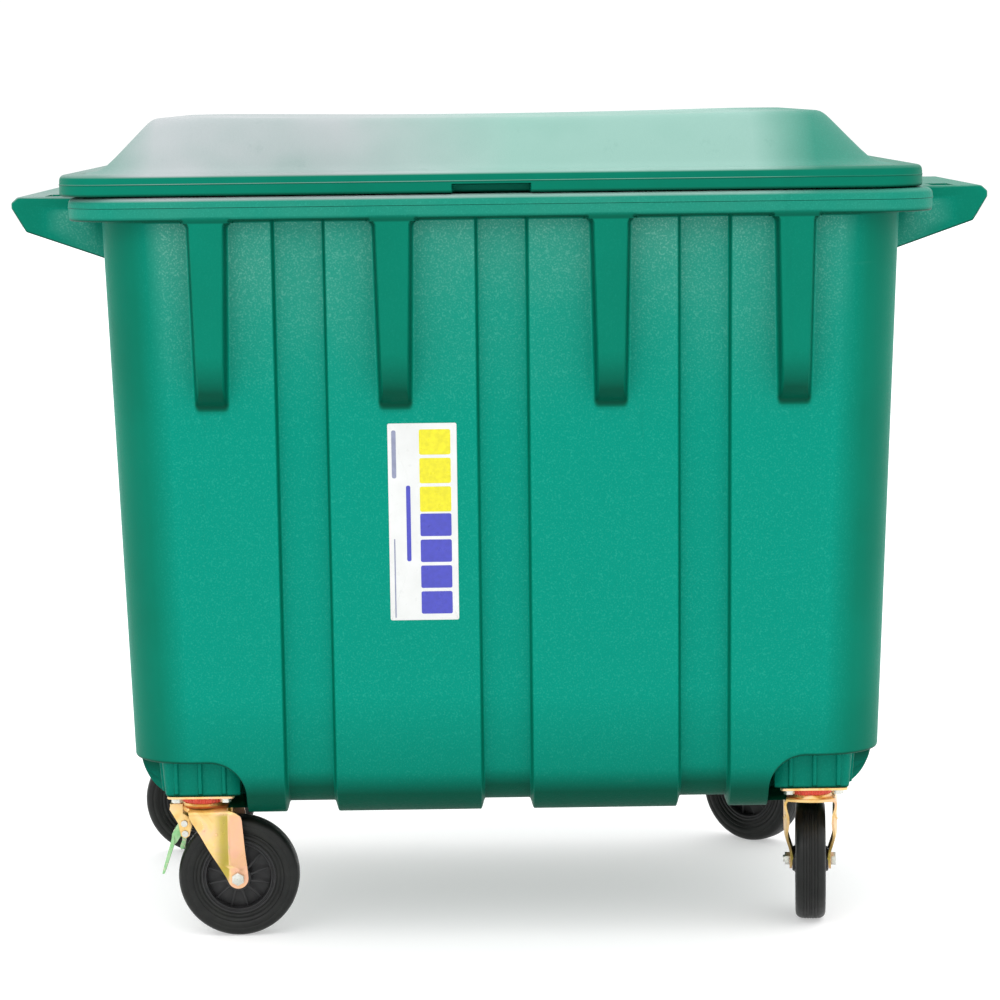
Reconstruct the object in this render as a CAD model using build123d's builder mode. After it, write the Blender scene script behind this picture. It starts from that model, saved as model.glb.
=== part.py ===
"""Four-wheel waste container: hollow moulded tub, hinged domed lid and four swivel castors, one braked.

Frame: +X to the container's right, +Y to its back, +Z up. The origin is on the floor, midway between the
lifting wings' tips and midway between the rim's front and the hinge's rear. All sizes are in millimetres.
"""

import os
from math import atan2, cos, radians, sin, tan

from build123d import *

os.makedirs("parts", exist_ok=True)

# ---------------------------------------------------------------- driving dimensions
wall = 6.0  # moulded skin of the tub
lid_wall = 5.0

# rim
rim_half_x, rim_half_y = 685.0, 537.0
rim_corner = 90.0
rim_top_z = 1226.0
rim_height = 37.0
rim_bottom_z = rim_top_z - rim_height
rim_lip = 58.0  # width of the rim's top skin, from its outer face to the mouth
rim_round, mouth_corner = 7.0, 60.0

# tapered bucket below the rim
floor_z = 210.0
top_half_x, top_half_y = 636.0, 503.0
bottom_half_x, bottom_half_y = 608.5, 412.0
bucket_corner = 100.0
bottom_round = 78.0

# sunk channels that run down the walls and across under the floor
channel_xs = (-320.0, 0.0, 320.0)
channel_ys = (-150.0, 150.0)
channel_width, channel_depth, channel_lift = 80.0, 16.0, 19.0
side_channel_top = 1085.0
side_channel_reach = 470.0  # side channels stop this far from the middle under the floor

# stiffening lugs hanging from the rim, front and back
lug_xs = (-462.0, -171.0, 171.0, 462.0)
lug_half_width = 30.0
lug_bottom_z, lug_knee_z = 893.0, 955.0
lug_face_inset = 3.0  # lug face behind the rim's face at the top
lug_knee_inset = 14.0
lug_root, lug_rise = 25.0, 8.0  # how far the lugs run into the wall and up into the rim

# lifting wings on both sides
wing_tip_x = 797.0
wing_half_length = 282.0
wing_top_z = 1222.0
wing_chamfer = 10.0
wing_nose_z = 1203.0  # foot of the tip's upright face
wing_knee_x, wing_knee_z = 774.0, 1165.0
wing_root_x, wing_root_z = 633.0, 1116.0
wing_overlap = 30.0  # how far the wings run into the tub
pocket_x, pocket_width, pocket_length, pocket_depth = 728.0, 34.0, 96.0, 18.0
pocket_y, pocket_corner = 205.0, 12.0

# castor mounts moulded into the bottom corners
castor_x, castor_y = 502.0, 315.0
castor_height = 245.0
mount_top_z = 306.0
mount_inner_x, mount_inner_y = 425.0, 229.0
arch_radius = 60.0
outside_x = rim_half_x + 40.0  # beyond the walls, where cuts start
mount_size_x, mount_size_y = 128.0, 144.0
mount_shift_y = -2.0  # the block's centre, inwards of the castor's axis
mount_draft = 5.0
mount_rise, mount_corner = 12.0, 20.0  # the block runs up into the recess's ceiling
rib_pitch, rib_width, rib_stand, rib_short = 39.0, 7.0, 6.0, 4.0

# lid
lid_half_x, lid_half_y = 683.0, 534.0
lid_corner = 84.0
lid_shift_x = -15.0  # the lid sits to one side by its hinge's end float
skirt_bottom_z, flange_z = 1228.0, 1262.0
flange_round, skirt_round = 8.0, 3.0
dome_half_x, dome_half_y = 619.0, 466.0
dome_shift_x = -4.0  # the dome sits a little to one side of the lid
dome_height, dome_draft = 86.0, 43.0
dome_corner, dome_round = 132.0, 24.0
dome_root = 12.0  # how far the dome's outline runs down into the flange
notch_width, notch_height, notch_depth, notch_corner = 122.0, 14.0, 26.0, 6.0
ring_width, ring_corner = 70.0, 60.0  # hollow ring round the lid's underside
pad_x, pad_y, pad_radius = 560.0, 515.0, 9.0  # rest pads under the lid's corners

# lid hinge
hinge_offset, hinge_z = 24.0, 1240.0
hinge_radius, pin_radius = 14.0, 6.0
hinge_xs = (-380.0, 380.0)
knuckle_width, arm_width, hinge_gap = 28.0, 46.0, 18.0
pin_head_radius, pin_head = 10.0, 5.0
pin_cap_radius, pin_cap = 8.0, 4.0

# castors
wheel_radius, tyre_width = 100.0, 50.0
trail = 56.0
plate_size_x, plate_size_y, plate_thick, plate_corner = 110.0, 138.0, 4.0, 8.0
slot_length = 22.0
bolt_pitch_x, bolt_pitch_y = 80.0, 105.0
bolt_radius, bolt_depth = 5.0, 26.0
washer_radius, washer_thick, bolt_flat, bolt_head = 11.0, 2.0, 16.0, 6.0
fork_sheet = 4.0
axle_radius, sleeve_radius = 6.0, 10.0
running_gap = 0.06
leg_round, leg_half_axle, fork_half_top = 17.0, 34.5, 44.5
head_top_z, head_under_z = 226.0, 215.0
head_front_x, head_flat_y = -34.0, 36.0
leg_bow_z, leg_flat_z, shoulder_z = 150.0, 117.0, 214.0
seal_radius, seal_top_z = 35.0, 239.0
ball_ring, ball_radius = 30.0, 2.6
pin_shaft = 8.0
hub_half, hub_radius, sleeve_half = 30.0, 22.0, 30.5
tread_seat, rim_half, rim_depth, web_half = 61.5, 22.0, 9.0, 3.0
spokes, spoke_width, spoke_half = 12, 4.0, 18.0
nut_flat, nut_height = 19.0, 8.0
teeth, tooth = 36, 3.0

# brake on the front left castor, in the castor's own frame
pedal_x, pedal_z = -32.0, 190.0
shoe_x, shoe_z = -31.0, 173.0
brake_pin = 3.5
ear_inner, ear_outer = 15.0, 18.0
pin_half, pin_rivet = 18.5, 2.0

# label
label_x, label_z = -130.0, 702.0
label_width, label_height, label_thick, label_corner = 110.0, 322.0, 0.6, 4.0

tub_y = -(hinge_offset + hinge_radius) / 2  # centre of the tub, so that Y = 0 is mid-way front to rear
hinge_y = tub_y + rim_half_y + hinge_offset


def half_x(z):
    """Half width of the bucket at height z."""
    return bottom_half_x + (top_half_x - bottom_half_x) * (z - floor_z) / (rim_bottom_z - floor_z)


def half_y(z):
    """Half depth of the bucket at height z."""
    return bottom_half_y + (top_half_y - bottom_half_y) * (z - floor_z) / (rim_bottom_z - floor_z)


def level(z):
    """Horizontal plane at height z, centred on the tub."""
    return Plane(origin=(0, tub_y, z))


def save(part, name):
    """Label a finished part and write its STEP file."""
    part.label = name
    export_step(part, f"parts/{name}.step")


# ---------------------------------------------------------------- tub
def bucket(inset, lift, top_z):
    """Tapered bucket with its walls moved in by inset and its floor lifted by lift."""
    with BuildPart() as form:
        for z in (floor_z + lift, top_z):
            with BuildSketch(level(z)):
                RectangleRounded(2 * (half_x(z) - inset), 2 * (half_y(z) - inset), bucket_corner - inset)
        loft()
        fillet(form.edges().group_by(Axis.Z)[0], bottom_round - inset)
    return form.part


def channels(skin):
    """Material that the channels take out of the bucket. skin is 0 outside, and the wall thickness inside."""
    top_z = rim_bottom_z + skin
    width = channel_width + 2 * skin
    with BuildPart() as slabs:
        with BuildSketch(level(0)):
            with Locations(*[(x, 0) for x in channel_xs]):
                Rectangle(width, 2 * rim_half_y)
        extrude(amount=top_z)
        with BuildSketch(level(0)):
            reach = rim_half_x - side_channel_reach
            middle = side_channel_reach + reach / 2
            with Locations(*[(side * middle, y) for side in (-1, 1) for y in channel_ys]):
                Rectangle(reach, width)
        extrude(amount=side_channel_top + skin)
        add(bucket(channel_depth + skin, channel_lift + skin, top_z), mode=Mode.SUBTRACT)
    return slabs.part


def lugs(skin):
    """Lugs under the rim at the front and back, grown from the bucket's wall to the rim's face."""
    face_y = rim_half_y - lug_face_inset - skin
    knee_y = rim_half_y - lug_knee_inset - skin
    with BuildPart() as all_lugs:
        for x in lug_xs:
            with BuildSketch(Plane(origin=(x, tub_y, 0), x_dir=(0, 1, 0), z_dir=(1, 0, 0))):
                with BuildLine():
                    Polyline(
                        (half_y(rim_bottom_z) - lug_root, rim_bottom_z + lug_rise),
                        (face_y, rim_bottom_z + lug_rise),
                        (knee_y, lug_knee_z),
                        (half_y(lug_bottom_z), lug_bottom_z + skin),
                        (half_y(lug_bottom_z) - lug_root, lug_bottom_z + skin),
                        close=True,
                    )
                make_face()
            extrude(amount=lug_half_width - skin, both=True)
        mirror(about=Plane(origin=(0, tub_y, 0), x_dir=(1, 0, 0), z_dir=(0, 1, 0)))
    return all_lugs.part


def wings(skin):
    """Lifting wings: a wedge profile along each side of the rim."""
    with BuildPart() as both:
        with BuildSketch(Plane(origin=(0, tub_y, 0), x_dir=(1, 0, 0), z_dir=(0, -1, 0))):
            with BuildLine():
                Polyline(
                    (top_half_x - wing_overlap, wing_top_z - skin),
                    (wing_tip_x - wing_chamfer - 0.5 * skin, wing_top_z - skin),
                    (wing_tip_x - skin, wing_top_z - wing_chamfer - 0.5 * skin),
                    (wing_tip_x - skin, wing_nose_z + 0.4 * skin),
                    (wing_knee_x - 0.7 * skin, wing_knee_z + skin),
                    (wing_root_x, wing_root_z + 1.05 * skin),
                    (top_half_x - wing_overlap, wing_root_z + 1.05 * skin),
                    close=True,
                )
            make_face()
            mirror(about=Plane.YZ)
        extrude(amount=wing_half_length - skin, both=True)
        with BuildSketch(level(wing_top_z)):
            with Locations(*[(sx * pocket_x, sy * pocket_y) for sx in (-1, 1) for sy in (-1, 1)]):
                RectangleRounded(pocket_width + 2 * skin, pocket_length + 2 * skin, pocket_corner)
        extrude(amount=-(pocket_depth + skin), mode=Mode.SUBTRACT)
    return both.part


def mount_corners():
    """Centres of the four castor mounts, with the signs of their corner."""
    return [(sx, sy, sx * castor_x, tub_y + sy * castor_y) for sx in (-1, 1) for sy in (-1, 1)]


def arch(inner, skin):
    """Outline of one castor recess seen square to a wall: rounded where it meets the wall's lower edge."""
    with BuildSketch() as outline:
        with BuildLine():
            Polyline(
                (inner - skin, 0),
                (inner - skin, mount_top_z + skin),
                (outside_x, mount_top_z + skin),
                (outside_x, 0),
                close=True,
            )
        make_face()
        corner = outline.vertices().group_by(Axis.Y)[-1].sort_by(Axis.X)[0]
        fillet(corner, arch_radius)
    return outline.sketch


def castor_recesses(skin):
    """The four bottom corners that are cut back for the castors."""
    with BuildPart() as cuts:
        with BuildSketch(Plane(origin=(0, tub_y, 0), x_dir=(1, 0, 0), z_dir=(0, -1, 0))):
            add(arch(mount_inner_x, skin))
            mirror(about=Plane.YZ)
        extrude(amount=rim_half_y, both=True)
        with BuildSketch(Plane(origin=(0, tub_y, 0), x_dir=(0, 1, 0), z_dir=(1, 0, 0))):
            add(arch(mount_inner_y, skin))
            mirror(about=Plane.YZ)
        extrude(amount=outside_x, both=True, mode=Mode.INTERSECT)
    return cuts.part


def castor_mounts():
    """Solid drafted blocks that carry the castors, ribbed on their outer faces."""
    top_z = mount_top_z + mount_rise
    height = top_z - castor_height
    with BuildPart() as blocks:
        for sx, sy, x, y in mount_corners():
            top = Plane(origin=(x, y - sy * mount_shift_y, top_z))
            with BuildSketch(top):
                RectangleRounded(mount_size_x, mount_size_y, mount_corner)
            extrude(amount=-height, taper=mount_draft)
            add(mount_ribs(top, height - rib_short, sx, sy))
    return blocks.part


def mount_ribs(top, height, sx, sy):
    """Drafted ribs standing on the two outer faces of one castor mount."""
    with BuildPart() as ribs:
        with BuildSketch(top):
            with Locations((0, sy * mount_size_y / 2)):
                with GridLocations(rib_pitch, 1, 3, 1):
                    Rectangle(rib_width, mount_size_y / 2)
            with Locations((sx * mount_size_x / 2, 0)):
                with GridLocations(1, rib_pitch, 1, 2):
                    Rectangle(mount_size_x / 2, rib_width)
        extrude(amount=-height)
        with BuildSketch(top):
            Rectangle(mount_size_x + 2 * rib_stand, mount_size_y + 2 * rib_stand)
        extrude(amount=-height, taper=mount_draft, mode=Mode.INTERSECT)
    return ribs.part


def hinge_eye(x, width, outline):
    """Eye on the lid's hinge axis, centred on x, with a neck drawn by outline in the YZ plane."""
    with BuildPart() as eye:
        with BuildSketch(Plane(origin=(x - width / 2, 0, 0), x_dir=(0, 1, 0), z_dir=(1, 0, 0))):
            with BuildLine():
                Polyline(*outline, close=True)
            make_face()
            with Locations((hinge_y, hinge_z)):
                Circle(hinge_radius)
                Circle(pin_radius + running_gap, mode=Mode.SUBTRACT)
        extrude(amount=width)
    return eye.part


with BuildPart() as tub:
    add(bucket(0, 0, rim_bottom_z + 1))
    add(channels(0), mode=Mode.SUBTRACT)
    add(castor_recesses(0), mode=Mode.SUBTRACT)
    add(castor_mounts())
    with BuildSketch(level(rim_bottom_z)):
        RectangleRounded(2 * rim_half_x, 2 * rim_half_y, rim_corner)
    extrude(amount=rim_height)
    fillet(tub.edges().group_by(Axis.Z)[-1], rim_round)
    add(lugs(0))
    add(wings(0))
    rear_y = tub_y + rim_half_y - 3
    knuckle_neck = (
        (rear_y, rim_top_z - 8),
        (hinge_y - 9, hinge_z + 10),
        (hinge_y + 12, hinge_z - 7),
        (rear_y, rim_bottom_z + 4),
    )
    for x in hinge_xs:
        for side in (-1, 1):
            knuckle_x = x + side * (arm_width / 2 + hinge_gap + knuckle_width / 2)
            add(hinge_eye(knuckle_x, knuckle_width, knuckle_neck))

with BuildPart() as cavity:
    add(bucket(wall, wall, rim_bottom_z + wall + 1))
    add(channels(wall), mode=Mode.SUBTRACT)
    add(castor_recesses(wall), mode=Mode.SUBTRACT)
    with BuildSketch(level(rim_bottom_z + wall)):
        RectangleRounded(2 * (rim_half_x - wall), 2 * (rim_half_y - wall), rim_corner - wall)
    extrude(amount=rim_height - 2 * wall)
    add(lugs(wall))
    add(wings(wall))
    with BuildSketch(level(rim_bottom_z)):
        RectangleRounded(2 * (rim_half_x - rim_lip), 2 * (rim_half_y - rim_lip), mouth_corner)
    extrude(amount=2 * rim_height)

with BuildPart() as tub_skin:
    add(tub.part)
    add(cavity.part, mode=Mode.SUBTRACT)
    for _sx, _sy, x, y in mount_corners():
        with Locations(Plane(origin=(x, y, castor_height), z_dir=(0, 0, -1))):
            with GridLocations(bolt_pitch_x, bolt_pitch_y, 2, 2):
                Hole(bolt_radius + running_gap, depth=bolt_depth + 4)
save(tub_skin.part, "tub")

# ---------------------------------------------------------------- label on the front wall
wall_slope = atan2(half_y(label_z) - half_y(label_z - 100), 100)
with BuildPart() as label:
    wall_face = Plane(
        origin=(label_x, tub_y - half_y(label_z), label_z),
        x_dir=(1, 0, 0),
        z_dir=(0, -cos(wall_slope), -sin(wall_slope)),
    )
    with BuildSketch(wall_face):
        RectangleRounded(label_width, label_height, label_corner)
    extrude(amount=label_thick)
save(label.part, "label")

# ---------------------------------------------------------------- lid


def dome(skin):
    """Hipped dome of the lid, moved in by skin."""
    start = flange_z - dome_root
    rise = dome_height - skin + dome_root
    spread = dome_root * tan(radians(dome_draft))
    foot_x, foot_y = dome_half_x - skin + spread, dome_half_y - skin + spread
    with BuildPart() as form:
        with BuildSketch(Plane(origin=(lid_shift_x + dome_shift_x, tub_y, start))):
            RectangleRounded(2 * foot_x, 2 * foot_y, dome_corner - skin)
        extrude(amount=rise, taper=dome_draft)
        fillet(form.edges().group_by(Axis.Z)[-1], dome_round - skin)
    return form.part


def lid_level(z):
    """Horizontal plane at height z, centred on the lid."""
    return Plane(origin=(lid_shift_x, tub_y, z))


with BuildPart() as lid:
    with BuildSketch(lid_level(skirt_bottom_z)):
        RectangleRounded(2 * lid_half_x, 2 * lid_half_y, lid_corner)
    extrude(amount=flange_z - skirt_bottom_z)
    fillet(lid.edges().group_by(Axis.Z)[-1], flange_round)
    fillet(lid.edges().group_by(Axis.Z)[0], skirt_round)
    add(dome(0))
    with Locations(Location((lid_shift_x, tub_y, skirt_bottom_z))):
        with GridLocations(2 * pad_x, 2 * pad_y, 2, 2):
            Cylinder(pad_radius, 2 * (skirt_bottom_z - rim_top_z))
    with BuildSketch(lid_level(flange_z - lid_wall)):
        RectangleRounded(2 * (lid_half_x - ring_width), 2 * (lid_half_y - ring_width), ring_corner)
    extrude(amount=-(flange_z - rim_bottom_z), mode=Mode.SUBTRACT)
    add(dome(lid_wall), mode=Mode.SUBTRACT)
    with BuildSketch(lid_level(skirt_bottom_z + lid_wall)):
        RectangleRounded(2 * (lid_half_x - lid_wall), 2 * (lid_half_y - lid_wall), lid_corner - lid_wall)
        inner = ring_width - lid_wall
        corner = ring_corner + lid_wall
        RectangleRounded(2 * (lid_half_x - inner), 2 * (lid_half_y - inner), corner, mode=Mode.SUBTRACT)
        with Locations((0, -lid_half_y)):
            Rectangle(notch_width + 2 * lid_wall, 2 * (notch_depth + lid_wall), mode=Mode.SUBTRACT)
    extrude(amount=flange_z - skirt_bottom_z - 2 * lid_wall, mode=Mode.SUBTRACT)
    with BuildSketch(lid_level(skirt_bottom_z - 1)):
        with Locations((0, -lid_half_y)):
            RectangleRounded(notch_width, 2 * notch_depth, notch_corner)
    extrude(amount=notch_height, mode=Mode.SUBTRACT)
    back_y = tub_y + lid_half_y - 2
    lid_neck = (
        (back_y, flange_z - 4),
        (hinge_y - 4, hinge_z + hinge_radius - 0.6),
        (hinge_y - 6, hinge_z - hinge_radius + 1.4),
        (back_y, skirt_bottom_z + 3),
    )
    for x in hinge_xs:
        add(hinge_eye(x + lid_shift_x, arm_width, lid_neck))
save(lid.part, "lid")

with BuildPart() as hinge_pins:
    pin_length = arm_width + 2 * (hinge_gap + knuckle_width)
    for x in hinge_xs:
        for start, radius, length in (
            (x - pin_length / 2 - pin_head, pin_head_radius, pin_head),
            (x - pin_length / 2, pin_radius, pin_length),
            (x + pin_length / 2, pin_cap_radius, pin_cap),
        ):
            with Locations(Location((start, hinge_y, hinge_z), (0, 90, 0))):
                Cylinder(radius, length, align=(Align.CENTER, Align.CENTER, Align.MIN))
save(hinge_pins.part, "hinge_pins")

# ---------------------------------------------------------------- castors


def local(x, y, heading):
    """Location of a castor whose wheel trails along heading, in degrees from +X."""
    return Location((x, y, 0), (0, 0, heading))


def ring(outer, inner, bottom_z, top_z):
    """Plain ring about the local vertical axis."""
    with BuildPart() as piece:
        with BuildSketch(Plane.XY.offset(bottom_z)):
            Circle(outer)
            if inner:
                Circle(inner, mode=Mode.SUBTRACT)
        extrude(amount=top_z - bottom_z)
    return piece.part


def turned(points):
    """Solid turned about the axle from an outline of (radius, sideways) points."""
    with BuildPart() as piece:
        with BuildSketch(Plane(origin=(trail, 0, wheel_radius), x_dir=(1, 0, 0), z_dir=(0, 0, 1))):
            with BuildLine():
                Polyline(*points, close=True)
            make_face()
        revolve(axis=Axis((trail, 0, wheel_radius), (0, 1, 0)))
    return piece.part


def sideways_ring(outer, inner, start, end):
    """Ring about the axle between two sideways positions."""
    return turned(((inner, start), (outer, start), (outer, end), (inner, end)))


def castor_plate():
    """Pressed top plate with its lower raceway."""
    with BuildPart() as plate:
        with BuildSketch(Plane.XY.offset(castor_height - plate_thick)):
            RectangleRounded(plate_size_x, plate_size_y, plate_corner)
            with GridLocations(bolt_pitch_x, bolt_pitch_y, 2, 2):
                SlotOverall(slot_length, 2 * bolt_radius + 1, mode=Mode.SUBTRACT)
            Circle(pin_shaft + running_gap, mode=Mode.SUBTRACT)
        extrude(amount=plate_thick)
    return plate.part


def castor_fork():
    """Pressed fork: a round head, two bowed legs and the axle's holes."""
    with BuildPart() as fork:
        with BuildSketch(Plane.YZ) as front_view:
            with BuildLine():
                Polyline(
                    (0, head_top_z),
                    (head_flat_y, head_top_z),
                    (fork_half_top, head_top_z - 9),
                    (fork_half_top, leg_bow_z + 1),
                    (leg_half_axle, leg_flat_z),
                    (leg_half_axle, wheel_radius - leg_round),
                    (leg_half_axle - fork_sheet, wheel_radius - leg_round),
                    (leg_half_axle - fork_sheet, leg_flat_z - 1),
                    (fork_half_top - fork_sheet, leg_bow_z),
                    (fork_half_top - fork_sheet, head_under_z - 5),
                    (head_flat_y - 2, head_under_z),
                    (0, head_under_z),
                    close=True,
                )
            make_face()
            mirror(about=Plane.YZ)
        extrude(amount=trail + 2 * leg_round, both=True)
        with BuildSketch(Plane.XZ):
            with BuildLine():
                Polyline(
                    (head_front_x, head_top_z + 1),
                    (head_front_x, 196),
                    (trail - leg_round * 0.86, wheel_radius - leg_round * 0.5),
                    (trail + leg_round, wheel_radius),
                    (trail + leg_round - 4, 196),
                    (trail + leg_round - 13, shoulder_z - 3),
                    (44, shoulder_z),
                    (38, head_top_z + 1),
                    close=True,
                )
            make_face()
            with Locations((trail, wheel_radius)):
                Circle(leg_round)
        extrude(amount=fork_half_top + 1, both=True, mode=Mode.INTERSECT)
        with BuildSketch(Plane.XZ):
            with Locations((trail, wheel_radius)):
                Circle(axle_radius + running_gap)
        extrude(amount=fork_half_top + 1, both=True, mode=Mode.SUBTRACT)
        with BuildSketch(Plane.XY.offset(head_under_z - 2)):
            Circle(pin_shaft + 0.3)
        extrude(amount=20, mode=Mode.SUBTRACT)
    return fork.part


def dust_ring():
    """Serrated seal around the swivel bearing."""
    with BuildPart() as seal:
        with BuildSketch(Plane.XY.offset(head_top_z)):
            Circle(seal_radius - 1.5)
            with PolarLocations(seal_radius - 1.5, teeth):
                Rectangle(tooth, tooth, rotation=45)
            Circle(ball_ring - 4, mode=Mode.SUBTRACT)
        extrude(amount=seal_top_z - head_top_z)
        with BuildSketch(Plane.XY.offset(seal_top_z - 3.7)):
            Circle(ball_ring + ball_radius + 0.6)
            Circle(ball_ring - ball_radius - 0.6, mode=Mode.SUBTRACT)
        extrude(amount=5, mode=Mode.SUBTRACT)
    return seal.part


def balls():
    """Upper row of bearing balls between the seal and the plate."""
    with BuildPart() as row:
        with Locations((0, 0, castor_height - plate_thick - ball_radius - 0.3)):
            with PolarLocations(ball_ring, 20):
                Sphere(ball_radius)
    return row.part


def king_pin():
    """Shaft riveted into the plate, with a collar under the fork's head."""
    with BuildPart() as pin:
        add(ring(pin_shaft, 0, head_under_z - 4, castor_height - 0.5))
        add(ring(12, 0, head_under_z - 4.5, head_under_z - 0.5))
        add(ring(pin_shaft + 5, 0, head_top_z + 0.5, castor_height - plate_thick))
    return pin.part


def axle_sleeve():
    """Steel sleeve clamped between the legs, on which the wheel turns."""
    return sideways_ring(sleeve_radius, axle_radius + running_gap, -sleeve_half, sleeve_half)


def axle_bolt():
    """Hexagon bolt through both legs."""
    with BuildPart() as bolt:
        with BuildSketch(Plane(origin=(trail, -leg_half_axle, wheel_radius), z_dir=(0, -1, 0))):
            RegularPolygon(nut_flat / 2, 6, major_radius=False)
        extrude(amount=nut_height)
        add(sideways_ring(axle_radius, 0, -leg_half_axle, leg_half_axle + nut_height + 3))
    return bolt.part


def axle_nut():
    """Hexagon nut on the axle bolt."""
    with BuildPart() as nut:
        with BuildSketch(Plane(origin=(trail, leg_half_axle, wheel_radius), z_dir=(0, 1, 0))):
            RegularPolygon(nut_flat / 2, 6, major_radius=False)
            Circle(axle_radius + running_gap, mode=Mode.SUBTRACT)
        extrude(amount=nut_height)
    return nut.part


def wheel_centre():
    """Ribbed plastic wheel centre with its long hub."""
    with BuildPart() as centre:
        add(sideways_ring(hub_radius, sleeve_radius + running_gap, -hub_half, hub_half))
        add(sideways_ring(tread_seat, tread_seat - rim_depth, -rim_half, rim_half))
        add(sideways_ring(tread_seat - rim_depth + 1, hub_radius - 1, -web_half, web_half))
        disc = Plane(origin=(trail, 0, wheel_radius), z_dir=(0, 1, 0))
        for turn in range(spokes):
            with BuildSketch(disc.rotated((0, 0, turn * 360 / spokes))):
                with Locations(((tread_seat - rim_depth + hub_radius) / 2, 0)):
                    Rectangle(tread_seat - rim_depth - hub_radius + 2, spoke_width)
            extrude(amount=spoke_half, both=True)
    return centre.part


def tyre():
    """Solid rubber tyre with rounded shoulders and three fine grooves."""
    half = tyre_width / 2
    return turned((
        (tread_seat, -rim_half),
        (tread_seat + 6, -rim_half),
        (tread_seat + 9, -half),
        (wheel_radius - 14, -half),
        (wheel_radius - 6, -half + 2),
        (wheel_radius - 1.5, -half + 7),
        (wheel_radius, -half + 13),
        (wheel_radius, half - 13),
        (wheel_radius - 1.5, half - 7),
        (wheel_radius - 6, half - 2),
        (wheel_radius - 14, half),
        (tread_seat + 9, half),
        (tread_seat + 6, rim_half),
        (tread_seat, rim_half),
    ))


def across(x, z, radius, start, end):
    """Pin across the fork at (x, z), between two sideways positions."""
    with BuildPart() as pin:
        with BuildSketch(Plane(origin=(x, start, z), x_dir=(1, 0, 0), z_dir=(0, 1, 0))):
            Circle(radius)
        extrude(amount=end - start)
    return pin.part


def cheeks(outline, start, end):
    """Two mirrored side plates with the given outline, between start and end on either side."""
    with BuildPart() as pair:
        for side in (-1, 1):
            with BuildSketch(Plane.XZ.offset(side * (start + end) / 2)):
                with BuildLine():
                    Polyline(*outline, close=True)
                make_face()
            extrude(amount=(end - start) / 2, both=True)
    return pair.part


def brake_bracket():
    """Two ears at the front of the fork's head that carry the brake's pivots."""
    outline = (
        (head_front_x, 223),
        (head_front_x, 207),
        (-22, 200),
        (-20, 186),
        (-24, 169),
        (-31, 165),
        (-38, 169),
        (-42, 190),
        (-56, 214),
        (-54, 223),
    )
    with BuildPart() as ears:
        add(cheeks(outline, ear_inner, ear_outer))
        with Locations((-45, 0, 221.5)):
            Box(20, 2 * ear_outer, ear_outer - ear_inner)
        add(across(pedal_x, pedal_z, brake_pin + running_gap, -20, 20), mode=Mode.SUBTRACT)
        add(across(shoe_x, shoe_z, brake_pin + running_gap, -20, 20), mode=Mode.SUBTRACT)
    return ears.part


def brake_pedal():
    """Pedal: two cheeks on the upper pivot and a broad tread blade below."""
    outline = (
        (pedal_x - 9, pedal_z),
        (pedal_x - 6, pedal_z + 7),
        (pedal_x + 6, pedal_z + 7),
        (pedal_x + 8, pedal_z - 1),
        (pedal_x + 1, pedal_z - 9),
        (-44, 160),
        (-49, 154),
        (-55, 156),
        (-53, 172),
    )
    blade = ((-49, 168), (-53.5, 165), (-69, 112), (-70, 106), (-66, 107), (-49.5, 155))
    with BuildPart() as pedal:
        add(cheeks(outline, 9.5, 14))
        with BuildSketch(Plane.XZ):
            with BuildLine():
                Polyline(*blade, close=True)
            make_face()
        extrude(amount=21, both=True)
        add(across(pedal_x, pedal_z, brake_pin + running_gap, -20, 20), mode=Mode.SUBTRACT)
    return pedal.part


def brake_shoe():
    """Claw that bears on the tread."""
    outline = (
        (shoe_x - 6, shoe_z + 1),
        (shoe_x, shoe_z + 6),
        (shoe_x + 5.5, shoe_z),
        (shoe_x + 1, shoe_z - 10),
        (-32.6, 146.9),
        (-39, 144),
        (-41, 150),
        (-37, 160),
    )
    with BuildPart() as shoe:
        with BuildSketch(Plane.XZ):
            with BuildLine():
                Polyline(*outline, close=True)
            make_face()
        extrude(amount=8.5, both=True)
        add(across(shoe_x, shoe_z, brake_pin + running_gap, -20, 20), mode=Mode.SUBTRACT)
    return shoe.part


def brake_pins():
    """The two headed pivot pins of the brake."""
    with BuildPart() as pins:
        for x, z in ((pedal_x, pedal_z), (shoe_x, shoe_z)):
            add(across(x, z, brake_pin, -pin_half, pin_half))
            add(across(x, z, brake_pin + pin_rivet, -pin_half - pin_rivet, -ear_outer))
            add(across(x, z, brake_pin + pin_rivet, ear_outer, pin_half + pin_rivet))
    return pins.part


for name, sx, sy, heading in (
    ("front_left", -1, -1, 0),
    ("front_right", 1, -1, 85),
    ("back_left", -1, 1, 180),
    ("back_right", 1, 1, 139),
):
    place = local(sx * castor_x, tub_y + sy * castor_y, heading)
    save(castor_plate().moved(local(sx * castor_x, tub_y + sy * castor_y, 0)), f"plate_{name}")
    save(dust_ring().moved(place), f"dust_ring_{name}")
    save(balls().moved(place), f"balls_{name}")
    save(castor_fork().moved(place), f"fork_{name}")
    save(axle_bolt().moved(place), f"axle_bolt_{name}")
    save(axle_nut().moved(place), f"axle_nut_{name}")
    save(axle_sleeve().moved(place), f"sleeve_{name}")
    save(wheel_centre().moved(place), f"wheel_centre_{name}")
    save(tyre().moved(place), f"tyre_{name}")

brake_place = local(-castor_x, tub_y - castor_y, 0)
save(brake_bracket().moved(brake_place), "brake_bracket")
save(brake_pedal().moved(brake_place), "brake_pedal")
save(brake_shoe().moved(brake_place), "brake_shoe")
save(brake_pins().moved(brake_place), "brake_pins")

with BuildPart() as king_pins:
    for _sx, _sy, x, y in mount_corners():
        with Locations((x, y)):
            add(king_pin())
save(king_pins.part, "king_pins")

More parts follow.
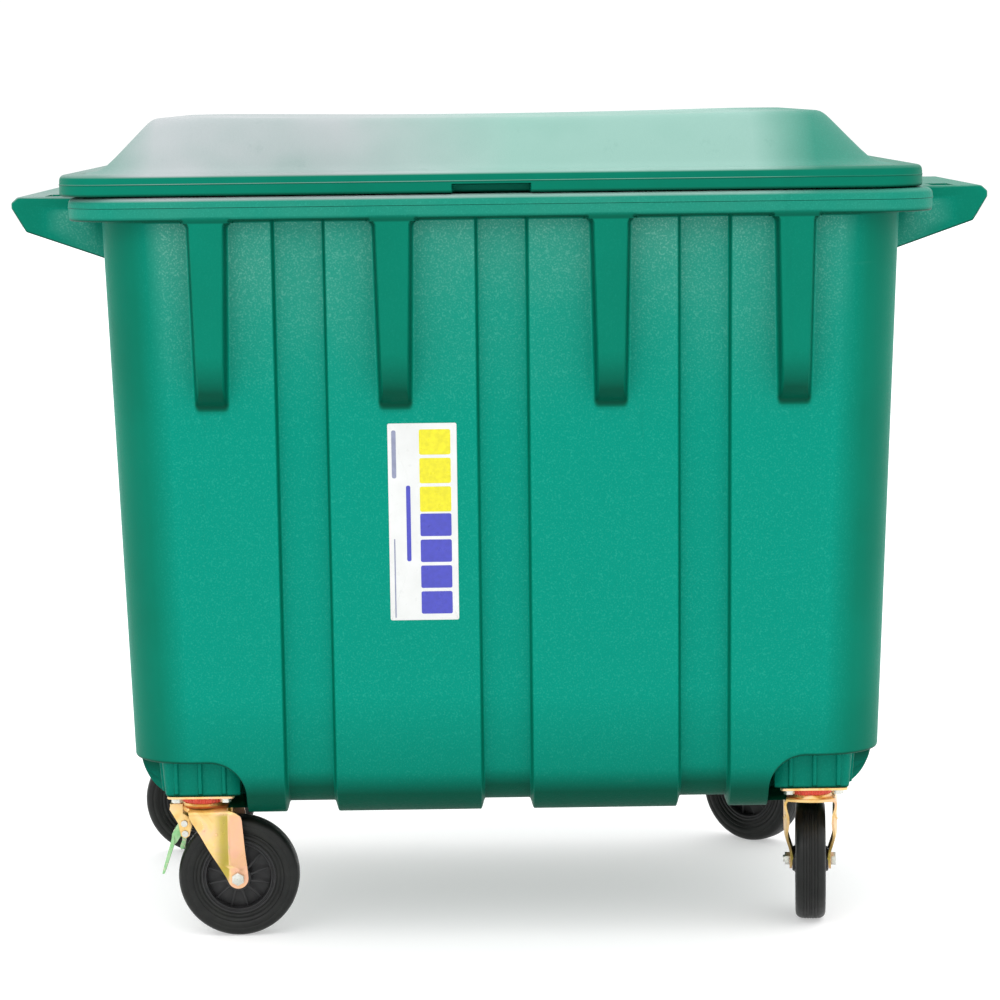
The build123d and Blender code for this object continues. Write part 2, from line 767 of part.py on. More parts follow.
washer_z = castor_height - plate_thick - washer_thick
with BuildPart() as plate_bolts:
    for _sx, _sy, x, y in mount_corners():
        with Locations((x, y)):
            with GridLocations(bolt_pitch_x, bolt_pitch_y, 2, 2):
                add(ring(bolt_radius, 0, washer_z, castor_height + bolt_depth))
                add(ring(washer_radius, 0, washer_z, castor_height - plate_thick))
        with BuildSketch(Plane(origin=(x, y, washer_z))):
            with GridLocations(bolt_pitch_x, bolt_pitch_y, 2, 2):
                RegularPolygon(bolt_flat / 2, 6, major_radius=False)
        extrude(amount=-bolt_head)
save(plate_bolts.part, "plate_bolts")
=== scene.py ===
"""Looks for the four-wheel waste container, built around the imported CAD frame."""

import math

import bmesh
import bpy
import numpy as np
from mathutils import Matrix, Vector


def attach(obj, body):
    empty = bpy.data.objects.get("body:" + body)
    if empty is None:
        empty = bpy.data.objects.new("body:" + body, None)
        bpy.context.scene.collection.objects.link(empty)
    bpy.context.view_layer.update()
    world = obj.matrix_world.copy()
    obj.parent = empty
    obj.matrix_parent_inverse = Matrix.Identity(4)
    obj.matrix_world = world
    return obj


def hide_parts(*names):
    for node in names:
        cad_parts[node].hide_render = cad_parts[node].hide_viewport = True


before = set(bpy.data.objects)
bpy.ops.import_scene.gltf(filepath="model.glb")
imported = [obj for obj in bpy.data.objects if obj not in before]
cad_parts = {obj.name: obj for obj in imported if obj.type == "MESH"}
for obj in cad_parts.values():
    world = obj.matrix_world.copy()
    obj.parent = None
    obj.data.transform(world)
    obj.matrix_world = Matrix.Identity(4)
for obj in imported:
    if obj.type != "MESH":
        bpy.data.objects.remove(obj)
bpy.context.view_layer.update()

MM = 0.001
WELD = 0.02 * MM  # points closer than this are joined
TINY = 1e-6
CLOSEST = 0.35  # columns closer than this are merged
TUB_Y = -19.0  # middle of the tub, front to back

# tub, in millimetres, measured from the tub's middle
RIM_X, RIM_Y, RIM_R = 685.0, 537.0, 90.0
RIM_TOP, RIM_LOW = 1226.0, 1189.0
MOUTH_X, MOUTH_Y, MOUTH_R = 627.0, 479.0, 60.0
FLOOR_Z, ROUND_R = 210.0, 78.0
BUCKET_R = 100.0
LOW_X, HIGH_X = 608.5, 636.0
LOW_Y, HIGH_Y = 412.0, 503.0
CHANNELS_X = (-320.0, 0.0, 320.0)
CHANNELS_Y = (-150.0, 150.0)
CHANNEL_HALF, CHANNEL_DEPTH, CHANNEL_LIFT = 40.0, 15.0, 18.0
LUGS_X = (-462.0, -171.0, 171.0, 462.0)
FIXED_X, FIXED_Y = 508.0, 300.0
POCKET_X, POCKET_Y, POCKET_Z = 425.0, 229.0, 306.0
ARCH_R = 60.0
SKIN = 6.0
MOUTH_DROP = 44.0  # depth of the straight band under the mouth's edge
ARCH_LIP = 5.0  # rounding of the castor recesses' edges
TUCK = 4.0  # how far the recesses' walls reach in behind the outer wall
RIM_GRAIN = 0.62
WING_TOP = 1222.0
GRIP_X, GRIP_Y, GRIP_DEEP = 728.0, 205.0, 17.0  # pockets in the wings' tops
HINGES_X = (-380.0, 380.0)
LABEL_X, LABEL_Z = -130.0, 702.0


# ------------------------------------------------------------------ mesh tools
class Shape:
    """Collects grids and fans of points, in millimetres, and turns them into one object."""

    def __init__(self):
        self.verts, self.grains, self.faces = [], [], []
        self.count = 0
        self.grain = 1.0

    def points(self, block, grain=None):
        block = np.asarray(block, float).reshape(-1, 3)
        if grain is None:
            grain = np.full(len(block), self.grain)
        self.verts.append(block)
        self.grains.append(np.asarray(grain, float).reshape(-1))
        start = self.count
        self.count += len(block)
        return start

    def grid(self, block, wrap_u=False, wrap_v=False, keep=None, grain=None):
        """Quads over a (u, v, 3) block. keep, if given, says which quads to make."""
        block = np.asarray(block, float)
        nu, nv = block.shape[:2]
        start = self.points(block, grain)
        for i in range(nu if wrap_u else nu - 1):
            row, after = start + i * nv, start + (i + 1) % nu * nv
            for j in range(nv if wrap_v else nv - 1):
                j2 = (j + 1) % nv
                if keep is None or keep[i, j]:
                    self.faces.append((row + j, after + j, after + j2, row + j2))

    def fan(self, ring, centre=None):
        """Closes a ring of points with triangles about its centre."""
        ring = np.asarray(ring, float)
        middle = ring.mean(0) if centre is None else np.asarray(centre, float)
        start = self.points(np.vstack([ring, middle]))
        n = len(ring)
        self.faces += [(start + i, start + (i + 1) % n, start + n) for i in range(n)]

    def build(self, name, body, replaces, material, sharp=35.0, offset=(0.0, 0.0, 0.0)):
        """Welds what was collected into one object, moved by offset, and hands it over."""
        coords = (np.vstack(self.verts) + offset) * MM
        mesh = bpy.data.meshes.new(name)
        mesh.from_pydata(coords.tolist(), [], self.faces)
        # per-point value for the material: grain level, lowered on the tub where shade is painted
        grain = mesh.attributes.new("grain", "FLOAT", "POINT")
        grain.data.foreach_set("value", np.concatenate(self.grains))
        work = bmesh.new()
        work.from_mesh(mesh)
        bmesh.ops.remove_doubles(work, verts=work.verts, dist=WELD)
        bmesh.ops.dissolve_degenerate(work, edges=work.edges, dist=TINY)
        bmesh.ops.recalc_face_normals(work, faces=work.faces)
        work.to_mesh(mesh)
        work.free()
        finish_object(show(name, mesh), body, replaces, material, sharp)


def show(name, data):
    """Makes an object of a mesh, light or camera and puts it in the scene."""
    obj = bpy.data.objects.new(name, data)
    bpy.context.scene.collection.objects.link(obj)
    return obj


def finish_object(obj, body, replaces, material, sharp=35.0):
    """Smooth shading, material, and the body and CAD nodes that a piece belongs to."""
    mesh = obj.data
    mesh.polygons.foreach_set("use_smooth", [True] * len(mesh.polygons))
    mesh.set_sharp_from_angle(angle=math.radians(sharp))
    mesh.materials.clear()
    mesh.materials.append(material)
    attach(obj, body)
    for node in replaces:
        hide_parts(node)


def smooth(x, low, high):
    """0 below low, 1 above high, eased between."""
    t = np.clip((np.asarray(x, float) - low) / (high - low), 0.0, 1.0)
    return t * t * t * (t * (6.0 * t - 15.0) + 10.0)


def around(edges, base, offsets):
    """Sorted positions: an even base plus a cluster at each edge."""
    values = set(np.round(base, 3))
    for edge in edges:
        values |= set(np.round(edge + np.asarray(offsets), 3))
    out = []
    for v in sorted(values):
        if not out or v - out[-1] > CLOSEST:
            out.append(v)
    return np.array(out)


def level(points, z):
    """Gives a ring of (x, y) points one height."""
    return np.column_stack([points, np.full(len(points), z)])


def unit(vectors):
    """Vectors at length 1, or 0 where they have no length."""
    length = np.linalg.norm(vectors, axis=-1, keepdims=True)
    return np.where(length > TINY, vectors / np.maximum(length, TINY), 0)


# ------------------------------------------------------------------ tub
def half_x(z):
    """Half the tub's length at height z."""
    return LOW_X + (HIGH_X - LOW_X) * (z - FLOOR_Z) / (RIM_LOW - FLOOR_Z)


def half_y(z):
    """Half the tub's depth at height z."""
    return LOW_Y + (HIGH_Y - LOW_Y) * (z - FLOOR_Z) / (RIM_LOW - FLOOR_Z)


EDGE = (-5, -3.4, -2.2, -1.1, 0, 1.1, 2.2, 3.4, 5)  # columns about a channel's edge
CHANNEL_SOFT = 4.5
LUG_HALF, LUG_LOW, LUG_FILLET = 28.0, 893.0, 14.0
LUG_LEVELS = (LUG_LOW, 903, 916, 935, 960, 1175, RIM_LOW)
LUG_DEPTHS = (half_y(LUG_LOW) + 3.0, 492.0, 503.0, 512.0, 518.5, 533.0, 533.6)  # at LUG_LEVELS
LUG_STEPS = (-9, -7.2, -5.6, -4, -2.6, -1.2, 0, 1.3, 2.6, 4, 5.4, 7, 8.6, 10.2, 12, 14, 16.5)
ARCH_COLS = [POCKET_X + v for v in (0, 1.6, 3.2, 6, 9, 14, 20, 28, 37, 48, 60)]


def front_columns():
    edges = [c + s * CHANNEL_HALF for c in CHANNELS_X for s in (-1, 1)]
    values = around(edges, np.linspace(-FIXED_X, FIXED_X, 41), EDGE)
    for side in (-1, 1):
        lug_edges = [c + side * LUG_HALF for c in LUGS_X]
        values = around(lug_edges, values, [side * v for v in LUG_STEPS])
    extra = [s * v for v in ARCH_COLS for s in (-1, 1)]
    values = around(extra, values, (0,))
    values = values[np.abs(values) < FIXED_X - 0.4]
    return np.concatenate([[-FIXED_X], values, [FIXED_X]])


def side_columns():
    edges = [c + s * CHANNEL_HALF for c in CHANNELS_Y for s in (-1, 1)]
    values = around(edges, np.arange(-FIXED_Y, FIXED_Y + 1, 25.0), EDGE)
    extra = [s * (v - POCKET_X + POCKET_Y) for v in ARCH_COLS for s in (-1, 1)]
    return around(extra, values, (0,))


XS, YS = front_columns(), side_columns()
STRAIGHT, ARC = 3, 14


def corner_columns():
    """(kind, t) for the columns between two fixed stretches: straight, arc, straight."""
    cols = [(0, t) for t in np.linspace(0, 1, STRAIGHT + 1)[1:]]
    cols += [(1, t) for t in np.linspace(0, 1, ARC + 1)[1:]]
    cols += [(2, t) for t in np.linspace(0, 1, STRAIGHT + 1)[1:-1]]
    return cols


def column_list():
    """Every column round the tub, as (side, value).

    Sides 0 to 3 are front, right, back and left; 4 to 7 are the corners after each.
    """
    cols = []
    for side in range(4):
        values = XS if side % 2 == 0 else YS
        values = values if side < 2 else values[::-1]
        cols += [(side, v) for v in values]
        cols += [(4 + side, c) for c in corner_columns()]
    return cols


COLUMNS = column_list()
NCOL = len(COLUMNS)
C_SIDE = np.array([c[0] for c in COLUMNS])
C_VAL = np.array([c[1] if c[0] < 4 else 0.0 for c in COLUMNS])


def ring_points(hx, hy, rc):
    """Points and outward normals of one rounded rectangle, on every column."""
    pts = np.zeros((NCOL, 2))
    nrm = np.zeros((NCOL, 2))
    axes = ((0, -1), (1, 0), (0, 1), (-1, 0))
    for i, (side, value) in enumerate(COLUMNS):
        if side < 4:
            n = np.array(axes[side], float)
            depth = hy if side % 2 == 0 else hx
            pts[i] = n * depth + np.array([abs(n[1]), abs(n[0])]) * value
            nrm[i] = n
            continue
        a = side - 4
        n0, n1 = np.array(axes[a], float), np.array(axes[(a + 1) % 4], float)
        d0, d1 = (hy, hx) if a % 2 == 0 else (hx, hy)
        f0, f1 = (FIXED_X, FIXED_Y) if a % 2 == 0 else (FIXED_Y, FIXED_X)
        centre = n0 * (d0 - rc) + n1 * (d1 - rc)
        kind, t = value
        if kind == 0:
            pts[i] = n0 * d0 + n1 * (f0 + (d1 - rc - f0) * t)
            nrm[i] = n0
        elif kind == 1:
            ang = t * math.pi / 2
            nrm[i] = n0 * math.cos(ang) + n1 * math.sin(ang)
            pts[i] = centre + nrm[i] * rc
        else:
            start = d0 - rc
            pts[i] = n1 * d1 + n0 * (start + (f1 - start) * t)
            nrm[i] = n1
    return pts, nrm


ON_X = (C_SIDE == 0) | (C_SIDE == 2)
ON_Y = (C_SIDE == 1) | (C_SIDE == 3)
CORNER = C_SIDE >= 4
TURN = np.zeros(NCOL)  # 1 in the middle of each rounded corner, 0 on the flat walls
for _i, (_side, _value) in enumerate(COLUMNS):
    if _side >= 4 and _value[0] == 1:
        TURN[_i] = math.sin(math.pi * _value[1])


def band(value, centres, half, soft):
    """1 within half of a centre, 0 outside, eased over soft on both sides of the edge."""
    out = np.zeros(len(value))
    for c in centres:
        d = np.abs(value - c)
        out = np.maximum(out, 1.0 - smooth(d, half - soft, half + soft))
    return out


CHANNEL_X_MASK = band(C_VAL, CHANNELS_X, CHANNEL_HALF, CHANNEL_SOFT) * ON_X
CHANNEL_Y_MASK = band(C_VAL, CHANNELS_Y, CHANNEL_HALF, CHANNEL_SOFT) * ON_Y


def channel_mask(z):
    """1 in the channels, 0 between them; those of the side walls end below the rim."""
    return CHANNEL_X_MASK + CHANNEL_Y_MASK * (1.0 - smooth(z, 1060.0, 1090.0))


def lug_mask(z):
    """1 on the lugs' faces, 0 between them; they widen in a round fillet under the rim."""
    half = float(np.interp(z, (LUG_LOW, 1176), (23.5, 29.5)))
    drop = RIM_LOW - z
    if drop < LUG_FILLET:
        half += LUG_FILLET - math.sqrt(max(0.0, LUG_FILLET ** 2 - (LUG_FILLET - max(drop, 0.0)) ** 2))
    soft = float(np.interp(z, (LUG_LOW, 1150), (6.4, 5.2)))
    return band(C_VAL, LUGS_X, half, soft) * ON_X


def lug_face(z):
    """The lugs' mask, faded out below them."""
    return lug_mask(z) * float(smooth(z, 880, 900))


def crevice_shade(z):
    """Painted shade in the sunk edges of the channels and beside the lugs, 0 elsewhere."""
    channel, lug = channel_mask(z), lug_face(z)
    return 1.6 * (4 * channel * (1 - channel)) + 1.7 * (4 * lug * (1 - lug))


def lug_offset(z):
    """How far the lugs stand out from the wall at height z."""
    if z < 884:
        return np.zeros(NCOL)
    stand = (np.interp(z, LUG_LEVELS, LUG_DEPTHS) - half_y(z)) * float(smooth(z, 884, 897))
    return lug_mask(z) * stand


def arch_height(value, start):
    """Height of the castor recess's edge at each distance from the middle."""
    value = np.abs(value)
    rise = np.sqrt(np.clip(ARCH_R ** 2 - (start + ARCH_R - value) ** 2, 0, None))
    out = np.where(value >= start + ARCH_R, POCKET_Z, POCKET_Z - ARCH_R + rise)
    return np.where(value <= start + 0.01, -1.0, out)


EDGE_Z = np.where(ON_Y, arch_height(C_VAL, POCKET_Y), POCKET_Z)
EDGE_Z = np.where(ON_X, arch_height(C_VAL, POCKET_X), EDGE_Z)
LOWER_Z = 420.0  # rows above it are level, rows below follow the bottom rounding
ROUND_Z = FLOOR_Z + ROUND_R
STRAIGHT_LEN = LOWER_Z - ROUND_Z
ARC_LEN = ROUND_R * math.pi / 2


def path_end():
    """Length along the wall, from LOWER_Z down, at which each column stops."""
    out = np.full(NCOL, STRAIGHT_LEN + ARC_LEN)
    for i, z in enumerate(EDGE_Z):
        if z < 0:
            continue
        if z >= ROUND_Z:
            out[i] = LOWER_Z - z
        else:
            out[i] = STRAIGHT_LEN + ROUND_R * math.asin(min(1.0, (ROUND_Z - z) / ROUND_R))
    return out


PATH_END = path_end()


def lower_wall(length, inset=0.0):
    """Points of every column at its own length along the wall and the bottom rounding."""
    out = np.zeros((NCOL, 3))
    cache = {}
    for i, s in enumerate(length):
        phi = max(0.0, s - STRAIGHT_LEN) / ROUND_R
        z = ROUND_Z - ROUND_R * math.sin(phi) if phi > 0.0 else LOWER_Z - s
        key = (round(z, 4), round(phi, 5))
        if key not in cache:
            back = ROUND_R * (1 - math.cos(phi))
            cache[key] = ring_points(half_x(z) - back, half_y(z) - back, BUCKET_R - back)
        p, n = cache[key][0][i], cache[key][1][i]
        depth = CHANNEL_DEPTH + (CHANNEL_LIFT - CHANNEL_DEPTH) * min(1.0, phi / 1.2)
        push = depth * (CHANNEL_X_MASK + CHANNEL_Y_MASK)[i] + inset
        out[i, :2] = p - n * push * math.cos(phi)
        out[i, 2] = z + push * math.sin(phi)
    return out


def wall_row(z, inset=0.0):
    """The tub's wall at one height, with its channels and lugs."""
    pts, nrm = ring_points(half_x(z), half_y(z), BUCKET_R)
    push = -CHANNEL_DEPTH * channel_mask(z) + lug_offset(z) - inset
    return level(pts + nrm * push[:, None], z)


def rim_row(cut, z):
    """The rim's outline, drawn in by cut."""
    return level(ring_points(RIM_X - cut, RIM_Y - cut, RIM_R - cut)[0], z)


def mouth_row(cut, z):
    """The mouth's outline, drawn in by cut."""
    return level(ring_points(MOUTH_X - cut, MOUTH_Y - cut, MOUTH_R - cut)[0], z)


def tub_outer():
    """Rows of points from inside the mouth, over the rim and down the wall, and their grain."""
    rows = [mouth_row(cut, RIM_TOP - drop) for drop, cut in (
        (MOUTH_DROP, 0), (40, 0), (16, 0), (6, 0), (3.2, -0.7), (1.2, -2.0), (0.2, -4.0),
    )]
    rows += [rim_row(cut, RIM_TOP - drop) for cut, drop in (
        (42, 0), (30, 0), (22, 0), (12, 0.1), (8.5, 0.7), (5.6, 2.0), (3.2, 4.2), (1.7, 7.0), (0.9, 10.0),
        (0.5, 14.0), (0.25, 15.4), (0.0, 16.0), (0.25, 16.6), (0.8, 17.0), (1.0, 22.0), (1.3, 30.0),
    )]
    wall, edge = wall_row(RIM_LOW - 5.0), rim_row(6.5, RIM_LOW)
    on_lug = lug_mask(RIM_LOW - 1.0)[:, None]
    for k, (cut, rise) in enumerate(((1.7, 3.4), (2.6, 1.5), (4.2, 0.4), (6.5, 0.0))):
        free, flush = rim_row(cut, RIM_LOW + rise), rim_row(1.6 + 0.45 * k, RIM_LOW + 5.0 - 1.5 * k)
        rows.append(free + (flush - free) * on_lug)
    for k, (t, drop) in enumerate(((0.45, 0.0), (0.85, 0.0), (0.95, 0.7), (0.99, 2.2))):
        free = edge * (1 - t) + wall * t
        free[:, 2] = RIM_LOW - drop
        flush = rim_row(3.4, RIM_LOW - 1.0 - 0.9 * k)
        rows.append(free + (flush - free) * on_lug)
    # values below 0 just under the rim paint its shadow
    under_rim_shadow = (0.5, 0.4, 0.1, -0.3, -0.8, -1.0, -0.9, -0.6)
    grains = [np.full(NCOL, v) for v in (RIM_GRAIN,) * (len(rows) - len(under_rim_shadow)) + under_rim_shadow]
    drops = (5, 6.5, 8, 10, 12, 14, 18, 24, 34, 50, 70, 99, 104, 109, 114, 119, 124, 129, 150, 180, 210)
    levels = [RIM_LOW - drop for drop in drops]
    levels += [960, 948, 935, 925, 916, 909, 903, 899, 896, 893, 890, 887, 884, 878]
    for z in [*levels, *np.linspace(850, LOWER_Z, 14)]:
        rows.append(wall_row(z))
        # less grain on the smooth lugs; painted shade round the rounded corners and in the sunk edges
        grains.append(np.clip(1.0 - 0.85 * lug_face(z), 0, 1) * (1.0 - 1.20 * TURN) - crevice_shade(z))
    pocket = EDGE_Z > 0
    end = PATH_END - np.where(pocket, ARCH_LIP, 0.0)
    steps = [*np.linspace(0, 100.0, 5)[1:], *np.linspace(108.0, STRAIGHT_LEN, 4)]
    steps += [*np.linspace(STRAIGHT_LEN, STRAIGHT_LEN + ARC_LEN, 19)[1:]]
    rows += [lower_wall(np.minimum(end, length)) for length in steps]
    last = lower_wall(end)
    tangent = unit(lower_wall(PATH_END) - last)
    inward = unit(last - lower_wall(end, inset=-1.0))
    for a in np.radians((18, 36, 54, 72, 90)):
        curl = last + ARCH_LIP * (math.sin(a) * tangent + (1 - math.cos(a)) * inward)
        rows.append(np.where(pocket[:, None], curl, last))
    rows.append(np.where(pocket[:, None], rows[-1] + inward * 9.0, last))
    # painted shade round the rounded corners and in the sunk edges
    grains += [(0.9 - 1.10 * TURN) - crevice_shade(300.0)] * (len(rows) - len(grains))
    return np.array(rows), np.array(grains)


def floor_sheet(lift=0.0):
    """Underside of the tub between the castor recesses, and which of its quads to make."""
    edge_x, edge_y = half_x(FLOOR_Z) - ROUND_R, half_y(FLOOR_Z) - ROUND_R
    xs = np.array([-edge_x] + [x for x in XS if abs(x) < edge_x] + [edge_x])
    ys = np.array([-edge_y] + [y for y in YS if abs(y) < edge_y] + [edge_y])
    mx = band(xs, CHANNELS_X, CHANNEL_HALF, CHANNEL_SOFT)
    my = band(ys, CHANNELS_Y, CHANNEL_HALF, CHANNEL_SOFT)
    fade = smooth(np.abs(xs), 455.0, 490.0)
    z = FLOOR_Z + lift + CHANNEL_LIFT * np.maximum(mx[:, None], my[None, :] * fade[:, None])
    block = np.stack([*np.meshgrid(xs, ys, indexing="ij"), z], 2)
    mid_x, mid_y = ((np.abs(v[:-1]) + np.abs(v[1:])) / 2 for v in (xs, ys))
    keep = ~((mid_x[:, None] > POCKET_X) & (mid_y[None, :] > POCKET_Y))
    return block, keep


def recess_walls(shape, sx, sy, skin=0.0):
    """The inner walls and the ceiling of one castor recess, and with a skin its side in the tub."""
    radius, corner = ARCH_R + skin, 14.0 + skin
    foot = POCKET_Z - ARCH_R
    levels = [(0.0, z) for z in (FLOOR_Z + skin, 222, 234, foot)]
    levels += [(a, foot + radius * math.sin(a)) for a in np.radians(np.linspace(8, 90, 12))]
    rows = []
    for a, z in levels:
        lean = radius * (1 - math.cos(a))
        ax, ay = POCKET_X - skin + lean, POCKET_Y - skin + lean
        drop = max(0.0, ROUND_Z - z)
        back = ROUND_R - math.sqrt(max(0.0, ROUND_R ** 2 - drop ** 2))
        wx, wy = half_x(z) - back - TUCK, half_y(z) - back - TUCK
        path = [(ax, wy), (ax, ay + (wy - ay) * 0.5), (ax, ay + corner)]
        for t in np.radians((22.5, 45, 67.5)):
            path.append((ax + corner - corner * math.cos(t), ay + corner - corner * math.sin(t)))
        path += [(ax + corner, ay), (ax + (wx - ax) * 0.5, ay), (wx, ay)]
        rows.append([(sx * px, sy * py, z) for px, py in path])
    shape.grid(rows)
    top = POCKET_Z + skin
    near_x, near_y = POCKET_X + ARCH_R, POCKET_Y + ARCH_R
    hx, hy, rc = half_x(top) - TUCK, half_y(top) - TUCK, BUCKET_R - TUCK
    outline = [(near_x, near_y), (near_x, hy), (hx - rc, hy)]
    for t in np.radians(np.linspace(0, 90, 13)):
        outline.append((hx - rc + rc * math.sin(t), hy - rc + rc * math.cos(t)))
    outline += [(hx, near_y)]
    shape.fan([(sx * px, sy * py, top) for px, py in outline], (sx * 540, sy * 345, top))


def mount_block(shape, sx, sy):
    """Drafted castor mount with soft ribs on its two outer faces."""
    cx, cy, hx, hy, rc = 502.0, 317.0, 64.0, 72.0, 16.0
    top, low, draft = 318.0, 245.0, math.tan(math.radians(5.0))
    ribs, rib_half, rib_soft, rib_high = (-39.0, 0.0, 39.0), 3.5, 1.8, 6.0
    edges = [r + s * rib_half for r in ribs for s in (-1, 1)]
    xs, ys = (around(edges, np.linspace(rc - h, h - rc, 7), (-2, -1, 0, 1, 2)) for h in (hx, hy))
    ys = ys[::-1]
    rows = []
    for z in (top, 300, 285, 265, low + 6, low + 4.5, low + 2.2, low + 0.8, low):
        cut = (top - z) * draft
        edge = {low: 3.5, low + 0.8: 1.6, low + 2.2: 0.5}.get(z, 0.0)
        high = rib_high * float(smooth(z, low + 3.5, low + 6.5))
        front = hy - cut - edge + high * band(xs, ribs, rib_half, rib_soft)
        side = hx - cut - edge + high * band(ys, ribs, rib_half, rib_soft)
        path, turn = list(zip(xs, front)), rc - cut - edge
        for t in np.radians(np.linspace(0, 90, 7))[1:-1]:
            path.append((hx - rc + turn * math.sin(t), hy - rc + turn * math.cos(t)))
        path += zip(side, ys)
        path += [(hx - rc, -hy), (-hx, -hy), (-hx, hy - rc)]
        rows.append([(sx * (cx + px), sy * (cy + py), z) for px, py in path])
    shape.grid(rows, wrap_v=True)
    shape.fan(rows[-1])


def wing(shape, side):
    """Lifting wing with rounded edges and two grip pockets in its top."""
    top_xs = (640, 672, 700, 709, 710.4, 711.4, 713, 728, 743, 744.6, 745.6, 747, 762)
    outline = [(x, WING_TOP, 0) for x in top_xs]
    outline += [(787, WING_TOP, 7), (797, 1213, 6), (797, 1204, 4), (774, 1165, 7)]
    outline += [(652, 1122.5, 0), (628, 1114, 0)]
    prof = []
    for i, (px, pz, r) in enumerate(outline):
        p = np.array([px, pz], float)
        if r == 0:
            prof.append(p)
            continue
        a, b = (unit(np.array(outline[k][:2]) - p) for k in (i - 1, i + 1))
        run = min(r / math.tan(math.acos(np.clip(a @ b, -1, 1)) / 2), 7.0)
        prof += [p + a * run * (1 - t) ** 2 + b * run * t ** 2 for t in np.linspace(0, 1, 5)]
    prof = np.array(prof)
    away = unit(np.array([700.0, 1185.0]) - prof)
    insets = {282: 5.0, 281.4: 2.9, 280: 1.2, 277.6: 0.3, 274: 0.0}  # rounding of the two ends
    half = [*insets, 254.5, 253.4, 252.4, 251, 228, 205, 182, 159, 157.6, 156.6, 155.5, 110, 55]
    rows = []
    for y in [-v for v in half] + [0.0] + half[::-1]:
        p = prof + away * insets.get(abs(y), 0.0)
        dip = 1 - smooth(abs(abs(y) - GRIP_Y), 46.6, 49.2)
        dip = dip * (1 - smooth(np.abs(p[:, 0] - GRIP_X), 15.4, 17.6))
        dip = np.where(p[:, 1] > WING_TOP - 1.0, dip, 0.0)
        rows.append(np.column_stack([side * p[:, 0], np.full(len(p), y), p[:, 1] - GRIP_DEEP * dip]))
    cap = np.array([side * 700.0, 0.0, 1170.0])
    closed = []
    for end in (rows[0], rows[-1]):
        middle = cap + (0, end[0, 1], 0)
        closed.append([middle + (end - middle) * share for share in (0.15, 0.3, 0.45, 0.6, 0.75, 0.9)])
    rows = np.array([*closed[0], *rows, *closed[1][::-1]])
    low, near = smooth(rows[:, :, 2], 1196, 1206), smooth(np.abs(rows[:, :, 0]), 700, 770)
    shape.grid(rows, wrap_v=True, grain=0.15 + 0.75 * (1 - low) * (1 - near))
    shape.grain = 0.9
    for row in (rows[0], rows[-1]):
        shape.fan(row, cap + (0, row[0, 1], 0))


def tub_inner():
    """Inside skin, from under the rim's lip down to the floor."""
    rows = [mouth_row(0, RIM_TOP - MOUTH_DROP)]
    levels = (1176, 1160, 1120, 1085, 1070, 1055, 1000, 960, 930, 905, 896, 890, 884, 860)
    rows += [wall_row(z, SKIN) for z in (*levels, 780, 700, 620, 540, 480, LOWER_Z)]
    away = np.abs(C_VAL) - np.where(ON_X, POCKET_X, POCKET_Y) + SKIN
    radius = ARCH_R + SKIN
    rise = np.sqrt(np.clip(radius ** 2 - (radius - np.clip(away, 0, radius)) ** 2, 0, None))
    stop = np.where(CORNER, POCKET_Z + SKIN, POCKET_Z - ARCH_R + rise)
    stop = np.where(~CORNER & (away <= 0), FLOOR_Z, stop)
    drop = np.arcsin(np.clip((ROUND_Z - stop) / ROUND_R, 0, 1))
    full = np.where(stop >= ROUND_Z, LOWER_Z - stop, STRAIGHT_LEN + ROUND_R * drop)
    rows += [lower_wall(full * share, inset=SKIN) for share in np.linspace(0.15, 1, 14)]
    return np.array(rows)


def hinge_knuckles(shape):
    """The tub's four hinge eyes, two beside each eye of the lid."""
    for x in [hx + side * 55.0 for hx in HINGES_X for side in (-1, 1)]:
        eye(shape, x, 28.0, ((534.0, 1218.0), (552.0, 1250.0)), ((573.0, 1233.0), (534.0, 1193.0)))


def eye(shape, x, width, upper, lower):
    """Hinge eye on the lid's axis; its neck's points are (y, z) from the tub's middle."""
    axis = np.array([561.0, 1240.0])
    radius = 14.0
    ends = [math.atan2(*(np.array(p) - axis)[::-1]) for p in (upper[1], lower[0])]
    nose = [axis + (radius * math.cos(t), radius * math.sin(t)) for t in np.linspace(*ends, 15)]
    outline = np.array([upper[0], *nose, lower[1]])
    away = unit(outline.mean(0) - outline)
    edge = ((0.0, 1.6), (0.5, 0.5), (1.6, 0.0))  # (distance from the end, inset) of the rounded edges
    sides = [(d - width / 2, inset) for d, inset in edge]
    sides += [(width / 2 - d, inset) for d, inset in edge[::-1]]
    rows = [[(x + dx, py, pz) for py, pz in outline + away * inset] for dx, inset in sides]
    shape.grid(rows, wrap_v=True)
    shape.fan(rows[0], (x - width / 2, *axis))
    shape.fan(rows[-1], (x + width / 2, *axis))


def build_tub(material):
    shape = Shape()
    outer, grains = tub_outer()
    shape.grid(outer, wrap_v=True, grain=grains)
    shape.grain = 0.8
    block, keep = floor_sheet()
    shape.grid(block, keep=keep)
    for sx in (-1, 1):
        for sy in (-1, 1):
            recess_walls(shape, sx, sy)
            mount_block(shape, sx, sy)
            recess_walls(shape, sx, sy, SKIN)
    for sx in (-1, 1):
        wing(shape, sx)
    shape.grain = 0.3
    shape.grid(tub_inner(), wrap_v=True)
    shape.grid(floor_sheet(lift=SKIN)[0])
    hinge_knuckles(shape)
    shape.build("tub_moulding", "container", ["tub"], material, 40.0, (0, TUB_Y, 0))


# ------------------------------------------------------------------ lid
LID_X = -15.0
DOME_SHIFT, DOME_X, DOME_Y = -4.0, 619.0, 466.0
LID_HX, LID_HY, LID_R = 683.0, 534.0, 84.0
LID_LOW, LID_TOP = 1228.0, 1262.0
NOTCH_HALF, NOTCH_TOP, NOTCH_DEEP = 61.0, 1241.0, 25.0
LID_XS = around([-NOTCH_HALF, NOTCH_HALF], np.linspace(-420, 420, 15), (-3, -1.8, -0.9, 0, 0.9, 1.8, 3))
LID_YS = np.linspace(-290, 290, 11)


